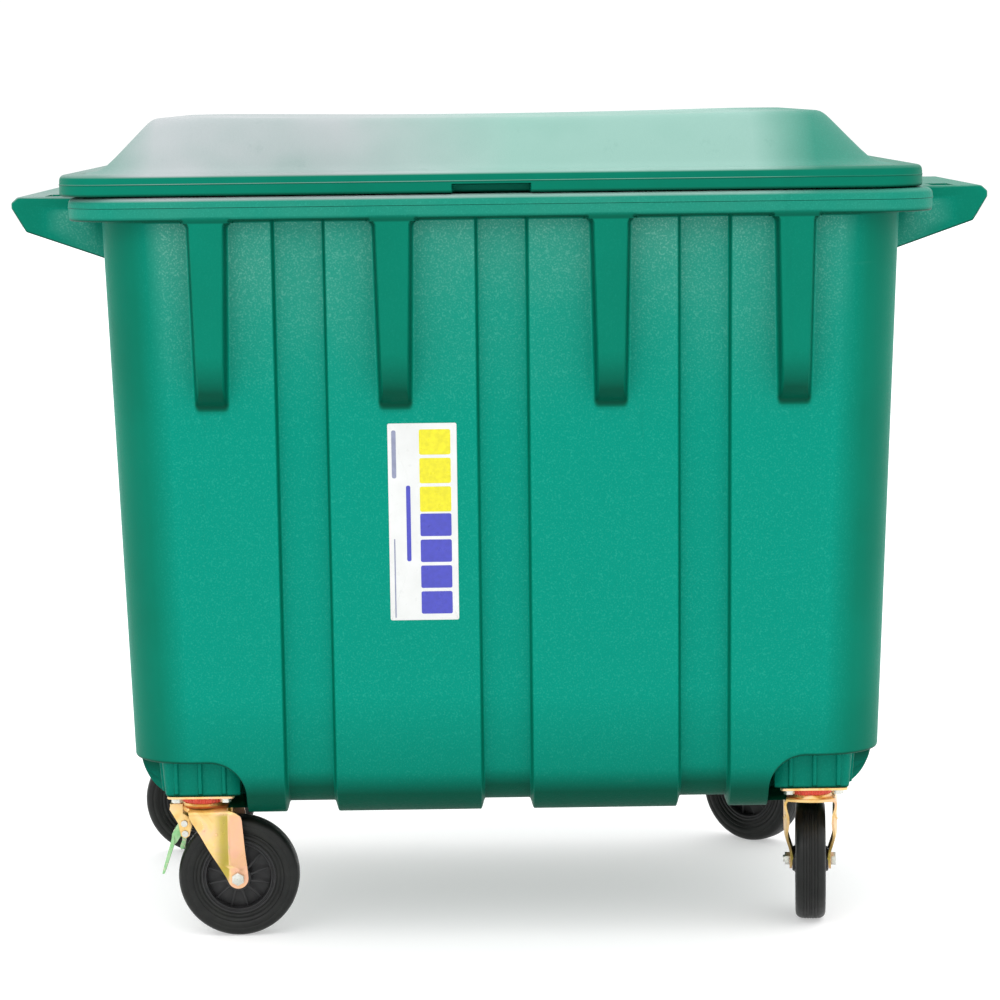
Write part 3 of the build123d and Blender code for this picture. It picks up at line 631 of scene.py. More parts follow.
def lid_ring(hx, hy, rc, z, shrink=1.0):
    """Points round the lid. Straight columns keep their place until shrink draws them in."""
    pts = []
    for sx, sy in ((1, -1), (1, 1), (-1, 1), (-1, -1)):
        if sx != sy:
            line, first, second = [(x, hy) for x in LID_XS * shrink], math.sin, math.cos
        else:
            line, first, second = [(hx, y) for y in LID_YS * shrink], math.cos, math.sin
        arc = np.radians(np.linspace(0, 90, 17))
        turn = [(hx - rc + rc * first(t), hy - rc + rc * second(t)) for t in arc]
        pts += [(sx * px, sy * py) for px, py in line + turn]
    return level(pts, z)


def dome_profile():
    """(half length, half depth, corner radius, height, shrink) rings from the flange up to the plateau."""
    return [(DOME_X - run, DOME_Y - run, r, LID_TOP + rise, 1.0 - max(0, run) / 1500) for run, rise, r in (
        (-26, 0.0, 122), (-18, 0.5, 120), (-11, 1.9, 118), (-5, 4.2, 117), (1, 7.6, 115), (7, 12.2, 113),
        (18, 22.7, 110), (32, 37.5, 106), (46, 52.5, 102), (58, 65.4, 98), (65, 72.8, 96), (69.5, 77.2, 94),
        (74, 80.9, 92), (79, 83.7, 90), (85, 85.4, 87), (93, 86.0, 80), (150, 85.6, 50),
    )]


def plateau(share, height):
    """One ring of the dome's top, drawn in to a share of its size and sinking to the middle."""
    z = LID_TOP + height - 5.0 * (1 - share)
    return lid_ring((DOME_X - 150) * share, (DOME_Y - 150) * share, 50 * share, z, 0.9 * share)


def sag_dome(rows):
    """Lets the dome sink a few millimetres between its ends, and moves it to its place on the lid."""
    for row in rows:
        lift = np.clip((row[:, 2] - LID_TOP) / 86.0, 0.0, 1.0)
        row[:, 2] -= 4.5 * lift * np.clip(1.0 - (row[:, 0] / 430.0) ** 2, 0.0, 1.0)
        row[:, 0] += DOME_SHIFT


def lid_rows():
    """Rows from inside the skirt, round its edge and over the dome, and their grain."""
    skirt = [
        (70, 62, LID_TOP - 6), (70, 62, LID_LOW + 3), (69.2, 62, LID_LOW + 1), (67, 62, LID_LOW),
        (40, 66, LID_LOW), (27, 68, LID_LOW), (26, 68, LID_LOW),
    ]
    edge = [(4.5, 0.0), (2.2, 0.8), (0.9, 2.4), (0.6, 5), (0.6, 9), (0.7, 10.6), (0.7, 11.8), (0.7, 13)]
    edge += [(0.7, 14.2), (0.7, 15.4), (0.6, 17), (0.35, 17.7), (0.0, 18.3), (0.35, 18.9), (0.8, 19.6)]
    edge += [(0.9, 24), (1.4, 27.5), (2.6, 30.4), (4.6, 32.5), (7.4, 33.7), (11, 34), (24, 34), (36, 34)]
    skirt += [(cut, LID_R - cut, LID_LOW + rise) for cut, rise in edge]
    rows = [lid_ring(LID_HX - cut, LID_HY - cut, rc, z) for cut, rc, z in skirt]
    first_dome = len(rows)
    rows += [lid_ring(*ring) for ring in dome_profile()]
    rows += [plateau(share, 85.2) for share in (0.8, 0.6, 0.4, 0.2)]
    sag_dome(rows[first_dome:])
    out = np.array(rows)
    x, y, z = out[:, :, 0], out[:, :, 1], out[:, :, 2]
    front = (y < -LID_HY + 30) & (np.abs(x) < 80)
    across = 1.0 - smooth(np.abs(x), NOTCH_HALF - 1.6, NOTCH_HALF + 1.6)
    below = 1.0 - smooth(z, NOTCH_TOP - 1.2, NOTCH_TOP + 1.2)
    outer = smooth(-y, LID_HY - 26.5, LID_HY - 25.5)
    out[:, :, 1] += np.where(front, across * below * outer * NOTCH_DEEP, 0)
    grains = np.where(np.arange(len(rows)) < first_dome, 0.0, 0.45)
    return out, np.repeat(grains[:, None], out.shape[1], 1)


def lid_underside():
    """Rows of the lid's inner skin, from the skirt up under the dome."""
    dome = [lid_ring(hx - 5, hy - 5, rc - 5, z - 5, shrink) for hx, hy, rc, z, shrink in dome_profile()[4:]]
    dome += [plateau(share, 80.2) for share in (0.6, 0.2)]
    sag_dome(dome)
    return np.array([lid_ring(LID_HX - 70, LID_HY - 70, 62, LID_TOP - 6), *dome])


def build_lid(material):
    shape = Shape()
    rows, grains = lid_rows()
    shape.grid(rows, wrap_v=True, grain=grains)
    shape.grain = 0.45
    shape.fan(rows[-1])
    shape.grain = 0.3
    under = lid_underside()
    shape.grid(under, wrap_v=True)
    shape.fan(under[-1])
    for hx in HINGES_X:
        eye(shape, hx, 46.0, ((531.0, 1257.0), (557.0, 1253.3)), ((555.0, 1227.4), (531.0, 1232.0)))
    shape.build("lid_moulding", "lid", ["lid"], material, 40.0, (LID_X, TUB_Y, 0))


# ------------------------------------------------------------------ castors
WHEEL_Z, TRAIL = 100.0, 56.0
CASTORS = {
    "front_left": (-502.0, TUB_Y - 315.0, 0.0),
    "front_right": (502.0, TUB_Y - 315.0, 85.0),
    "back_left": (-502.0, TUB_Y + 315.0, 180.0),
    "back_right": (502.0, TUB_Y + 315.0, 139.0),
}


def placed(block, castor):
    """Moves points from a castor's own frame to the object's."""
    x, y, heading = CASTORS[castor]
    block = np.asarray(block, float)
    c, s = math.cos(math.radians(heading)), math.sin(math.radians(heading))
    out = block.copy()
    out[..., 0] = x + block[..., 0] * c - block[..., 1] * s
    out[..., 1] = y + block[..., 0] * s + block[..., 1] * c
    return out


def turned(shape, castor, profile, about="axle", steps=96, close=True, wave=None):
    """Revolves (radius, height) points about the axle (height = sideways) or the swivel axis."""
    rows = []
    for a in [2 * math.pi * i / steps for i in range(steps)]:
        row = [(wave(r, h, a) if wave else r, h) for r, h in profile]
        if about == "axle":
            rows.append([(TRAIL + r * math.cos(a), h, WHEEL_Z + r * math.sin(a)) for r, h in row])
        else:
            rows.append([(r * math.cos(a), r * math.sin(a), h) for r, h in row])
    shape.grid(placed(rows, castor), wrap_u=True, wrap_v=close)


def tyre_profile():
    """(radius, sideways) points of the tyre, with its side rings and tread grooves."""
    half = [
        (61.5, 20.8), (63.0, 20.8), (63.8, 22.2), (65.4, 23.2), (67.2, 23.2), (68.2, 22.2), (69.4, 22.2),
        (70.6, 23.9), (74.4, 24.6), (75.4, 23.4), (76.6, 23.4), (77.8, 24.7), (82, 25.0), (84.6, 25.0),
        (85.4, 24.3), (86.4, 24.3), (87.2, 24.9), (90.0, 24.7), (93.4, 23.6), (96.0, 21.6), (98.0, 18.6),
        (99.1, 15.2), (99.55, 12.6), (99.0, 12.1), (98.95, 11.4), (99.75, 10.9), (99.9, 7.4), (99.2, 7.0),
        (99.15, 6.3), (99.95, 5.9), (100.0, 2.3), (99.2, 1.9), (99.15, 1.2), (100.0, 0.8),
    ]
    return [(r, -h) for r, h in half] + half[::-1]


def build_tyre(castor, material):
    shape = Shape()
    turned(shape, castor, tyre_profile(), steps=128)
    shape.build("tyre_rubber_" + castor, "wheel_" + castor, ["tyre_" + castor], material, 50.0)


def build_wheel(castor, material):
    """Plastic wheel centre: rim, dished web, ribs and hub."""
    shape = Shape()
    half = [(61.5, 21.4), (60.8, 22.0), (59.2, 22.0), (58.3, 21.2), (57.9, 19.8), (56.9, 19.6)]
    half += [(55.6, 20.8), (54.2, 20.8), (53.2, 19.6), (52.7, 16), (52.5, 3)]
    turned(shape, castor, [(r, -h) for r, h in half[::-1]] + half)
    web = [(53, -3), (53, 3), (50, 3.4), (24, 3.4), (21, 3), (21, -3), (24, -3.4), (50, -3.4)]
    turned(shape, castor, web)
    hub = [(10.06, -30), (10.06, 30), (19, 30), (20.4, 29.4), (21, 28), (22, 6), (22, -6), (21, -28)]
    turned(shape, castor, hub + [(20.4, -29.4), (19, -30)], steps=64)
    rib = ((20, 27), (26, 24.5), (38, 17.5), (50, 13.5), (55, 12.5))  # (radius, height) of its top
    for turn in range(12):
        a = 2 * math.pi * turn / 12 + 0.26
        c, s = math.cos(a), math.sin(a)
        for side in (-1, 1):
            rows = []
            for w, dh in ((-1.9, 0.9), (-1.3, 0.25), (0.0, 0.0), (1.3, 0.25), (1.9, 0.9)):
                line = [(20, 2), *((r, h - dh) for r, h in rib), (55, 2)]
                rows.append([(TRAIL + r * c - w * s, side * h, WHEEL_Z + r * s + w * c) for r, h in line])
            shape.grid(placed(rows, castor))
            shape.fan(placed([rows[0][0], rows[0][-1], rows[-1][-1], rows[-1][0]], castor))
    name, body = "wheel_plastic_" + castor, "wheel_" + castor
    shape.build(name, body, ["wheel_centre_" + castor], material)


FORK_T, FORK_TOP = 4.0, 220.0
CREASE = 41.0  # where the legs' pressed valley lies


def fork_path():
    """(sideways, height) points of the fork's outer face, from leg to leg over the head."""
    half = [(34.5, z) for z in (83.0, 83.3, 84.3, 86.3, 89.5, 94.0, 100.0, 105.0, 110.0)]
    half += [(34.7, 116), (36.1, 122.5), (38.6, 130.5), (41.2, 138.5), (43.3, 146), (44.3, 152)]
    half += [(44.5, z) for z in (160, 172, 186, 199)]
    half += [(44.3, 206), (43.0, 211.5), (40.2, 215.6), (36.4, 218.4), (31.0, 219.6)]
    half += [(20.0, FORK_TOP), (8.0, FORK_TOP)]
    return [(-y, z) for y, z in half] + [(0.0, FORK_TOP)] + half[::-1]


def fork_edges(y, z):
    """Leading and trailing edge of the fork's sheet at one point of its path."""
    if z > 203:
        lead = -34.0 + 12.0 * min(1.0, abs(y) / 44.5) ** 2
        trail = 62.0 - 21.0 * float(smooth(z, 207.5, 216.5))
        return lead, trail
    if z >= 100:
        lead = np.interp(z, (96, 203), (39.5, -22.0))
        trail = np.interp(z, (100, 203), (73.0, 64.0))
        return float(lead), float(trail)
    drop = math.sqrt(max(0.0, 17.0 ** 2 - (100 - z) ** 2))
    return max(TRAIL - drop, 39.5), TRAIL + drop


def fork_relief(x, z):
    """How far the sheet lies inwards of its path: a cone in front, a sharp valley, then flat."""
    front = 0.0045 * max(0.0, CREASE - 7.0 - x) ** 2
    valley = 3.6 * math.exp(-((x - CREASE) / (9.0 if x < CREASE else 2.6)) ** 2)
    front *= float(1 - smooth(z, 158, 216))
    valley *= float(1 - smooth(z, 196, 212))
    return (front + valley) * float(smooth(z, 86, 112))


def fork_shade_and_tint(x, z):
    """Colour drift of the plating and painted shade: 1 dark olive beside the valley, painted shade where the
    cone turns into it; -1 pink tint on the flat band behind it.
    """
    if z > 206:
        return 0.25
    ease = float(smooth(z, 84, 108))
    if x < CREASE + 0.5:
        return ease * float(smooth(x, CREASE - 30.0, CREASE - 4.0))
    return -float(smooth(x, CREASE + 0.5, CREASE + 5.0))


def build_fork(castor, material):
    """Pressed sheet fork: two legs and a head, its folded lip, the race's dish and two rivets a side."""
    shape = Shape()
    shape.grain = 0.0
    path = np.array(fork_path())
    tangent = unit(np.gradient(path, axis=0))
    outer, inner = [], []
    for (y, z), (ty, tz) in zip(path, tangent):
        lead, trail = fork_edges(y, z)
        xs = lead + (trail - lead) * np.linspace(0, 1, 15)
        if lead < CREASE - 15 and z < 214:
            near = CREASE + np.array([-12, -9, -6.5, -4.2, -2.2, -0.6, 0.7, 2, 3.6, 5.5])
            xs = np.concatenate([np.linspace(lead, CREASE - 12, 5)[:-1], near, [trail]])
        sides = [y - np.sign(y) * fork_relief(x, z) for x in xs]
        outer.append([(x, side, z) for x, side in zip(xs, sides)])
        inner.append([(x, side + tz * FORK_T, z - ty * FORK_T) for x, side in zip(xs, sides)])
    outer, inner = np.array(outer), np.array(inner)
    trail_o, trail_i = outer[:, -1:], inner[:, -1:]
    lead_o, lead_i = outer[:, :1], inner[:, :1]
    edges = (trail_o * 0.8 + trail_i * 0.2, trail_o * 0.2 + trail_i * 0.8, inner[:, ::-1])
    edges += (lead_i * 0.8 + lead_o * 0.2, lead_i * 0.2 + lead_o * 0.8)
    strip = np.concatenate((outer, *edges), axis=1)
    tone = [[fork_shade_and_tint(x, z) for x, _y, z in row] for row in strip]
    shape.grid(placed(strip, castor), wrap_v=True, grain=tone)
    for end in (0, -1):
        shape.grid(placed([outer[end], inner[end]], castor))
    fold = [(2.6, 0.4), (0.4, 0.1), (-0.9, 1.2), (-1.2, 3.0), (-1.2, 5.4), (-0.4, 6.4), (1.4, 6.6), (2.6, 5.8)]
    lip = []
    for y in np.linspace(-40, 40, 25):
        lead = fork_edges(y, FORK_TOP)[0]
        lip.append([(lead + dx, y, FORK_TOP - drop) for dx, drop in fold])
    shape.grid(placed(lip, castor), wrap_v=True)
    for end in (lip[0], lip[-1]):
        shape.fan(placed(end, castor))

    def blunt_front(r, _h, a):
        return min(r, 33.9 / -math.cos(a)) if math.cos(a) < -0.5 else r

    dish = [(8.3, 215.5), (8.3, 226.0), (32.0, 226.0), (33.6, 225.4), (34.4, 224.2), (34.9, 222.4)]
    dish += [(36.0, 220.9), (38.0, 220.0), (40.5, 219.3)]
    turned(shape, castor, dish, about="swivel", steps=72, close=False, wave=blunt_front)
    for side in (-1, 1):
        for x, z, r in ((1.0, 184.0, 3.6), (22.0, 176.0, 2.4)):
            lie = 44.5 - fork_relief(x, z)
            knob = [(r, -1.5), (r, 0.2), (r * 0.85, 0.8), (r * 0.5, 1.1), (0.1, 1.2)]
            rows = []
            for t in [2 * math.pi * i / 20 for i in range(20)]:
                rows.append([(x + q * math.cos(t), side * (lie + h), z + q * math.sin(t)) for q, h in knob])
            shape.grid(placed(rows, castor), wrap_u=True)
    shape.build("fork_sheet_" + castor, "swivel_" + castor, ["fork_" + castor], material, 42.0)


def build_seal(castor, material):
    """Toothed dust ring round the ball race."""
    def teeth(r, _h, a):
        return r - (1.1 if (math.cos(36 * a) > 0.0 and r > 33) else 0.0)

    shape = Shape()
    profile = [(26, 226), (34.2, 226), (35.4, 226.6), (35.4, 237.8), (34.4, 239), (33.4, 239)]
    profile += [(33.2, 235.3), (26.8, 235.3), (26.6, 239), (26, 238)]
    turned(shape, castor, profile, about="swivel", steps=216, wave=teeth)
    shape.build("seal_" + castor, "swivel_" + castor, ["dust_ring_" + castor], material, 30.0)


def soften(node, body, material, width):
    """Shows a CAD node's copy, with softened edges, in its place."""
    obj = show(node + "_soft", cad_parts[node].data.copy())
    work = bmesh.new()
    work.from_mesh(obj.data)
    bmesh.ops.remove_doubles(work, verts=work.verts, dist=TINY)
    bmesh.ops.dissolve_limit(work, angle_limit=math.radians(1.5), verts=work.verts, edges=work.edges)
    work.to_mesh(obj.data)
    work.free()
    bevel = obj.modifiers.new("soft", "BEVEL")
    bevel.width = width * MM
    bevel.segments = 2
    bevel.limit_method = "ANGLE"
    bevel.angle_limit = math.radians(28.0)
    bevel.use_clamp_overlap = True
    bpy.context.view_layer.update()
    graph = bpy.context.evaluated_depsgraph_get()
    done = bpy.data.meshes.new_from_object(obj.evaluated_get(graph))
    obj.modifiers.clear()
    obj.data = done
    finish_object(obj, body, [node], material)


# ------------------------------------------------------------------ materials
class Nodes:
    """Short hand for building one material's node tree."""

    def __init__(self, name):
        self.mat = bpy.data.materials.new(name)
        self.mat.use_nodes = True
        self.tree = self.mat.node_tree
        self.shader = self.tree.nodes["Principled BSDF"]
        self.place = self.add("ShaderNodeTexCoord")
        self.coords = self.place.outputs["Object"]

    def add(self, kind, **inputs):
        node = self.tree.nodes.new(kind)
        for key, value in inputs.items():
            self.put(node.inputs[key], value)
        return node

    def put(self, socket, value):
        if isinstance(value, bpy.types.NodeSocket):
            self.tree.links.new(value, socket)
        elif isinstance(value, tuple) and len(value) == 3 and socket.type == "RGBA":
            socket.default_value = (*value, 1.0)
        else:
            socket.default_value = value

    def grain(self):
        """The value stored in the mesh's points by Shape."""
        node = self.add("ShaderNodeAttribute")
        node.attribute_name = "grain"
        return node.outputs["Fac"]

    def split(self, vector):
        return self.add("ShaderNodeSeparateXYZ", Vector=vector).outputs

    def noise(self, scale, detail=3.0, rough=0.5, distort=0.0, vector=None):
        return self.add(
            "ShaderNodeTexNoise", Scale=scale, Detail=detail, Roughness=rough, Distortion=distort,
            Vector=vector or self.coords,
        ).outputs["Fac"]

    def cells(self, scale):
        return self.add("ShaderNodeTexVoronoi", Scale=scale, Vector=self.coords).outputs["Distance"]

    def stretch(self, x, y, z):
        node = self.add("ShaderNodeMapping", Vector=self.coords)
        node.inputs["Scale"].default_value = (x, y, z)
        return node.outputs["Vector"]

    def remap(self, value, a, b, c=0.0, d=1.0):
        """Value a gives c, value b gives d, in a straight line between and held beyond."""
        node = self.add("ShaderNodeMapRange", Value=value)
        for key, v in (("From Min", a), ("From Max", b), ("To Min", c), ("To Max", d)):
            node.inputs[key].default_value = v
        return node.outputs["Result"]

    def mix(self, fac, a, b):
        node = self.tree.nodes.new("ShaderNodeMix")
        node.data_type = "RGBA"
        self.put(node.inputs["Factor"], fac)
        for socket, colour in zip([s for s in node.inputs if s.type == "RGBA"], (a, b)):
            self.put(socket, colour)
        return [s for s in node.outputs if s.type == "RGBA"][0]

    def math(self, op, a, b):
        node = self.tree.nodes.new("ShaderNodeMath")
        node.operation = op
        self.put(node.inputs[0], a)
        self.put(node.inputs[1], b)
        return node.outputs[0]

    def times(self, first, *others):
        for other in others:
            first = self.math("MULTIPLY", first, other)
        return first

    def stain(self, base, mask, amount, colour):
        """Lays a colour over base where mask is 1, at a share of its strength."""
        return self.mix(self.times(mask, amount), base, colour)

    def bump(self, height, distance, strength, normal=None):
        node = self.add("ShaderNodeBump", Strength=strength, Distance=distance, Height=height)
        if normal is not None:
            self.put(node.inputs["Normal"], normal)
        return node.outputs["Normal"]

    def finish(self, color, rough, normal, metallic=0.0, spec=0.5):
        self.put(self.shader.inputs["Base Color"], color)
        self.put(self.shader.inputs["Roughness"], rough)
        self.put(self.shader.inputs["Normal"], normal)
        self.shader.inputs["Metallic"].default_value = metallic
        self.shader.inputs["Specular IOR Level"].default_value = spec
        return self.mat


def grained_green():
    """Moulded polyethylene: fine graining, cloudy tone, chalky bleaching with a painted sky reflection on top,
    paler towards the rim with painted glints, painted shade in sunk edges, at the foot and underneath, dark
    streaks, scuffs and small pits.
    """
    n = Nodes("moulded green polyethylene")
    cloud, fine = n.noise(3.0, 4.0, 0.55), n.noise(330.0, 2.0, 0.6)
    grained_and_shaded = n.grain()
    facing = n.split(n.place.outputs["Normal"])["Z"]
    at_x, _, at_z = n.split(n.coords)
    base = n.mix(n.remap(cloud, 0.35, 0.68), (0.0, 0.140, 0.086), (0.0, 0.170, 0.108))
    # lighter where grained; darker where the value is lowered for painted shade
    base = n.mix(grained_and_shaded, base, (0.0, 0.236, 0.168))
    base = n.mix(n.times(n.remap(fine, 0.52, 0.74), 0.55, grained_and_shaded), base, (0.020, 0.34, 0.25))
    # paler and greyer towards the rim, with painted glints of the grain there
    upper_paling = n.times(
        n.math("POWER", n.remap(at_z, 0.84, 1.19), 1.8),
        n.remap(n.noise(5.0, 4.0, 0.6), 0.35, 0.7, 0.35, 1.0),
        n.remap(grained_and_shaded, 0.4, 1.0),
    )
    base = n.stain(base, upper_paling, 0.26, (0.20, 0.36, 0.29))
    # painted glints: pale sparkle of the grain near the rim
    painted_glints = n.times(upper_paling, n.remap(fine, 0.50, 0.66), n.remap(grained_and_shaded, 0.64, 0.95))
    base = n.stain(base, painted_glints, 0.42, (0.26, 0.47, 0.39))
    # chalky bleaching and a painted sky reflection on what faces up, greyer to the left and gone at the right
    # end
    chalk_and_sheen = n.mix(n.remap(at_x, -0.26, 0.02), (0.420, 0.430, 0.448), (0.270, 0.440, 0.390))
    reach = n.times(
        n.remap(at_x, 0.50, 0.40, 0.14, 0.90),
        n.remap(n.noise(2.6, 3.0, 0.6), 0.32, 0.6, 0.72, 1.0),
        n.remap(at_x, -0.63, -0.55, 0.45, 1.0),
    )
    bleach_and_sky_sheen = n.times(n.remap(facing, 0.35, 0.66), reach, n.remap(at_z, 1.17, 1.20))
    base = n.mix(bleach_and_sky_sheen, base, chalk_and_sheen)
    # painted shade in the sunk edges, under the rim and round the corners, at the foot and on what faces down
    base = n.mix(n.remap(grained_and_shaded, -0.05, -1.3, 0.0, 0.72), base, (0.0, 0.035, 0.022))
    # painted shade, darker towards the foot
    foot = n.times(n.remap(at_z, 0.40, 0.25, 0.0, 0.50), n.remap(at_z, 0.15, 0.2))
    base = n.mix(foot, base, (0.0, 0.105, 0.066))
    # painted shade on what faces down
    base = n.mix(n.remap(facing, -0.08, -0.55, 0.0, 0.88), base, (0.0, 0.050, 0.028))
    scuff = n.remap(n.noise(26.0, 5.0, 0.7, vector=n.stretch(0.25, 0.25, 1.6)), 0.66, 0.82)
    base = n.stain(base, scuff, 0.12, (0.10, 0.30, 0.24))
    streak = n.remap(n.noise(9.0, 6.0, 0.75, vector=n.stretch(2.4, 2.4, 0.12)), 0.62, 0.85)
    base = n.stain(base, streak, 0.20, (0.0, 0.09, 0.06))
    pit = n.times(n.remap(n.cells(46.0), 0.0, 0.055, 1.0, 0.0), n.remap(n.noise(7.0, 2.0), 0.60, 0.66))
    base = n.stain(base, pit, 0.6, (0.0, 0.04, 0.03))
    rough = n.math("ADD", n.remap(fine, 0.3, 0.75, 0.50, 0.36), n.times(scuff, 0.12))
    height = n.math("ADD", n.times(fine, 0.7), n.times(n.cells(430.0), 0.5))
    height = n.times(height, n.remap(grained_and_shaded, 0.0, 1.0, 0.25, 1.0))
    normal = n.bump(n.noise(14.0, 2.0, 0.5), 0.0016, 0.35)
    return n.finish(base, rough, n.bump(height, 0.00055, 0.8, normal), spec=0.05)


def zinc_yellow():
    """Yellow passivated zinc with its drifting rainbow tint, and painted shade in olive beside the fork's
    valley.
    """
    n = Nodes("yellow passivated zinc")
    drift, tone = n.noise(16.0, 3.0, 0.6, 1.2), n.grain()
    tint = n.mix(n.remap(drift, 0.30, 0.50), (0.72, 0.40, 0.10), (0.86, 0.60, 0.26))
    tint = n.mix(n.remap(drift, 0.50, 0.64), tint, (0.86, 0.52, 0.36))
    tint = n.mix(n.remap(drift, 0.66, 0.78), tint, (0.52, 0.58, 0.24))
    # painted shade: dark olive beside the fork's valley
    tint = n.mix(n.remap(tone, 0.0, 1.0, 0.0, 0.85), tint, (0.40, 0.33, 0.035))
    tint = n.mix(n.remap(tone, 0.0, -1.0, 0.0, 0.70), tint, (0.78, 0.42, 0.27))
    tint = n.stain(tint, n.remap(n.noise(90.0, 5.0, 0.7), 0.62, 0.76), 0.45, (0.55, 0.50, 0.42))
    rough = n.remap(n.noise(70.0, 4.0, 0.65), 0.3, 0.75, 0.26, 0.48)
    normal = n.bump(n.noise(260.0, 3.0, 0.6), 0.00025, 0.35)
    normal = n.bump(n.noise(24.0, 2.0), 0.0012, 0.25, normal)
    return n.finish(tint, rough, normal, metallic=0.86)


def speckled(name, tones, stain, rough, bumps, metallic=0.0, spec=0.5):
    """Two drifting tones, a stain in patches, uneven roughness and fine bumps."""
    n = Nodes(name)
    noise, dark, light = tones
    tint = n.mix(n.remap(n.noise(*noise), 0.35, 0.7), dark, light)
    if stain:
        noise, low, high, amount, colour = stain
        tint = n.stain(tint, n.remap(n.noise(*noise), low, high), amount, colour)
    normal = None
    for noise, distance, strength in bumps:
        normal = n.bump(n.noise(*noise), distance, strength, normal)
    noise, low, high = rough
    return n.finish(tint, n.remap(n.noise(*noise), 0.3, 0.7, low, high), normal, metallic, spec)


def printed(name, tones, stain=None):
    """Smooth film or ink, with the faint waves of a sheet stuck on a moulding."""
    return speckled(name, tones, stain, ((80.0, 3.0), 0.26, 0.4), [((60.0, 2.0), 0.0004, 0.2)])


def label_sheet(shape, x0, x1, z0, z1, lift, radius):
    """One flat rectangle with round corners, laid on the sloping front wall."""
    slope = (HIGH_Y - LOW_Y) / (RIM_LOW - FLOOR_Z)
    length = math.sqrt(1 + slope * slope)
    out = np.array([0.0, -1.0, -slope]) / length
    up = np.array([0.0, -slope, 1.0]) / length
    middle = np.array([LABEL_X, -half_y(LABEL_Z), LABEL_Z])
    right, left, top, low = x1 - radius, x0 + radius, z1 - radius, z0 + radius
    loop = []
    for cx, cz, start in ((right, top, 0), (left, top, 90), (left, low, 180), (right, low, 270)):
        for t in np.radians(np.linspace(start, start + 90, 6)):
            loop.append((cx + radius * math.cos(t), cz + radius * math.sin(t)))
    rows = []
    for h, cut in ((0.0, 0.0), (lift * 0.7, 0.0), (lift, 0.15)):
        across, along = 1 - cut / 60, 1 - cut / 160
        rows.append([middle + np.array([px * across, 0, 0]) + up * pz * along + out * h for px, pz in loop])
    shape.grid(rows, wrap_v=True)
    shape.fan(rows[-1])


def build_label():
    """Thin printed film with plain colour bars, laid on the front wall."""
    shape = Shape()
    label_sheet(shape, -55, 55, -161, 161, 0.45, 3.0)
    shape.build("label_film", "container", ["label"], film, offset=(0, TUB_Y, 0))
    yellow = [(-5.0, 45.0, 110.0 - 46.5 * k, 151.0 - 46.5 * k) for k in range(3)]
    blue = [(-5.0, 45.0, -23.0 - 42.6 * k, 14.0 - 42.6 * k) for k in range(4)]
    for name, colour, bars in (
        ("label_yellow", (0.72, 0.66, 0.004), yellow),
        ("label_blue", (0.050, 0.055, 0.44), blue + [(-27.0, -20.0, -64.0, 60.0)]),
        ("label_grey", (0.24, 0.26, 0.38), [(-49.0, -42.0, 72.0, 150.0), (-47.5, -45.5, -157.0, -27.0)]),
    ):
        ink = printed(name, ((140.0, 3.0), tuple(c * 0.85 for c in colour), colour))
        shape = Shape()
        for x0, x1, z0, z1 in bars:
            label_sheet(shape, x0, x1, z0, z1, 0.55, min(3.0, (x1 - x0) / 2 - 0.1))
        shape.build(name, "container", (), ink, offset=(0, TUB_Y, 0))


green = grained_green()
zinc = zinc_yellow()
steel = speckled(
    "bright zinc",
    tones=((60.0, 4.0, 0.6), (0.56, 0.56, 0.50), (0.78, 0.78, 0.74)),
    stain=((240.0, 3.0), 0.6, 0.72, 0.5, (0.32, 0.27, 0.20)),
    rough=((120.0, 3.0), 0.24, 0.46),
    bumps=[((420.0, 2.0), 0.0002, 0.3)],
    metallic=0.95,
)
seal = speckled(
    "red seal",
    tones=((90.0, 3.0), (0.62, 0.045, 0.022), (0.78, 0.085, 0.045)),
    stain=((30.0, 4.0, 0.7), 0.6, 0.8, 0.35, (0.25, 0.06, 0.04)),
    rough=((150.0, 2.0), 0.34, 0.5),
    bumps=[((300.0, 2.0), 0.0002, 0.4)],
)
wheel_black = speckled(
    "black wheel plastic",
    tones=((40.0, 4.0, 0.6), (0.011, 0.011, 0.012), (0.022, 0.022, 0.023)),
    stain=((55.0, 5.0, 0.75), 0.55, 0.8, 0.25, (0.07, 0.07, 0.065)),
    rough=((160.0, 3.0), 0.36, 0.55),
    bumps=[((500.0, 2.0), 0.0002, 0.5)],
    spec=0.4,
)
rubber = speckled(
    "tyre rubber",
    tones=((35.0, 4.0, 0.6), (0.0045, 0.005, 0.0048), (0.010, 0.011, 0.0098)),
    stain=((18.0, 5.0, 0.7), 0.52, 0.75, 0.4, (0.024, 0.027, 0.021)),
    rough=((90.0, 3.0), 0.36, 0.52),
    bumps=[((380.0, 3.0, 0.6), 0.0003, 0.5), ((45.0, 2.0), 0.0008, 0.2)],
    spec=0.28,
)
paint = speckled(
    "pale green paint",
    tones=((60.0, 3.0), (0.20, 0.50, 0.20), (0.42, 0.62, 0.36)),
    stain=((75.0, 5.0, 0.72), 0.55, 0.60, 0.8, (0.60, 0.56, 0.40)),
    rough=((110.0, 3.0), 0.32, 0.55),
    bumps=[((180.0, 3.0), 0.0004, 0.4)],
    metallic=0.25,
)
film = printed(
    "printed label film",
    tones=((25.0, 4.0), (0.63, 0.64, 0.63), (0.68, 0.69, 0.685)),
    stain=((70.0, 5.0, 0.75), 0.62, 0.8, 0.2, (0.45, 0.47, 0.42)),
)

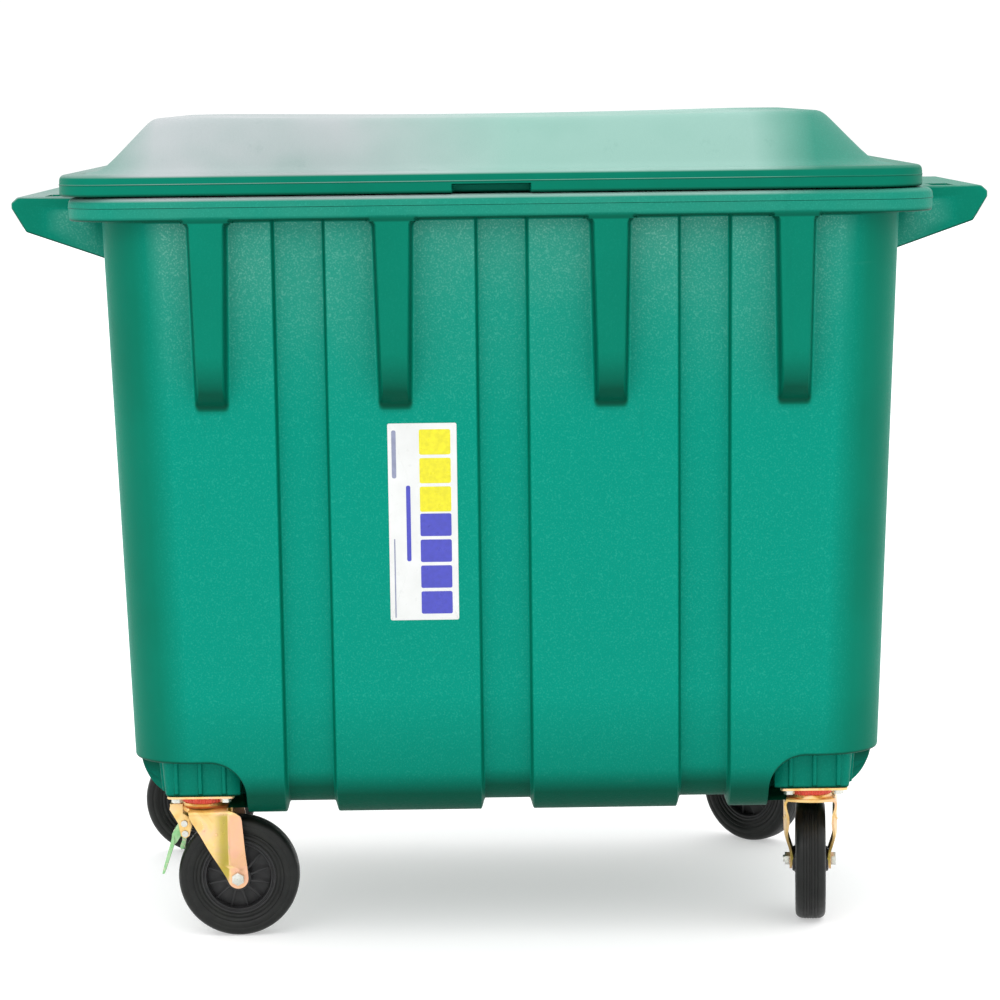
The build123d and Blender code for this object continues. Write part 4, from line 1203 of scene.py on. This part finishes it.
build_tub(green)
build_lid(green)
build_label()
for castor in CASTORS:
    build_tyre(castor, rubber)
    build_wheel(castor, wheel_black)
    build_fork(castor, zinc)
    build_seal(castor, seal)
    soften("plate_" + castor, "container", zinc, 0.8)
    for part in ("axle_bolt_", "axle_nut_"):
        soften(part + castor, "swivel_" + castor, steel, 0.5)
for part in ("plate_bolts", "king_pins", "hinge_pins"):
    soften(part, "container", steel, 0.4)
soften("brake_pins", "swivel_front_left", steel, 0.4)
soften("brake_bracket", "swivel_front_left", zinc, 0.4)
for part in ("brake_pedal", "brake_shoe"):
    soften(part, part, paint, 0.5)

for name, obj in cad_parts.items():
    obj.data.materials.clear()
    obj.data.materials.append(film if name == "label" else steel)

# ------------------------------------------------------------------ floor, light and camera
# A white sky, brighter overhead; a pale floor that shines faintly, so that it stays white; one soft key light.
world = bpy.data.worlds.new("studio")
bpy.context.scene.world = world
bpy.context.scene.view_settings.view_transform = "Standard"
world.use_nodes = True
sky = world.node_tree
split = sky.nodes.new("ShaderNodeSeparateXYZ")
sky.links.new(sky.nodes.new("ShaderNodeTexCoord").outputs["Generated"], split.inputs[0])
climb = sky.nodes.new("ShaderNodeMapRange")
climb.interpolation_type = "SMOOTHSTEP"
for key, value in (("From Min", 0.12), ("From Max", 0.95), ("To Min", 1.06), ("To Max", 1.9)):
    climb.inputs[key].default_value = value
sky.links.new(split.outputs["Z"], climb.inputs["Value"])
sky.links.new(climb.outputs["Result"], sky.nodes["Background"].inputs["Strength"])
sky.nodes["Background"].inputs["Color"].default_value = (1.0, 1.0, 1.0, 1.0)

floor_mesh = bpy.data.meshes.new("studio_floor")
floor_mesh.from_pydata([(-30, -30, 0), (30, -30, 0), (30, 30, 0), (-30, 30, 0)], [], [(0, 1, 2, 3)])
floor = show("studio_floor", floor_mesh)
floor_mat = bpy.data.materials.new("studio_floor")
floor_mat.use_nodes = True
for key, value in (
    ("Base Color", (0.66, 0.66, 0.66, 1)), ("Roughness", 0.8), ("Specular IOR Level", 0.1),
    ("Emission Color", (1, 1, 1, 1)), ("Emission Strength", 0.42),
):
    floor_mat.node_tree.nodes["Principled BSDF"].inputs[key].default_value = value
floor_mesh.materials.append(floor_mat)


def soft_light(name, place, target, size, power):
    """Rectangular lamp at place, turned to target."""
    data = bpy.data.lights.new(name, "AREA")
    data.shape = "RECTANGLE"
    data.size, data.size_y = size
    data.energy = power
    obj = show(name, data)
    obj.location = place
    obj.rotation_euler = (Vector(target) - Vector(place)).to_track_quat("-Z", "Y").to_euler()


soft_light("key", (-2.2, -4.4, 3.6), (0, 0, 0.8), (2.4, 2.0), 22)

cam_data = bpy.data.cameras.new("camera")
cam_data.sensor_width = 36.0
cam_data.lens = 124.5
cam_data.clip_end = 100.0
cam = show("camera", cam_data)
pitch, yaw, roll = 0.1191, 0.0069, 0.0126
ahead = Vector((math.sin(yaw) * math.cos(pitch), math.cos(yaw) * math.cos(pitch), -math.sin(pitch)))
right = ahead.cross(Vector((0, 0, 1))).normalized()
up = right.cross(ahead)
right, up = (right - roll * up).normalized(), (up + roll * right).normalized()
basis = Matrix((right, up, -ahead)).transposed().to_4x4()
cam.matrix_world = Matrix.Translation((-0.045, -5.9612, 1.3922)) @ basis
bpy.context.scene.camera = cam
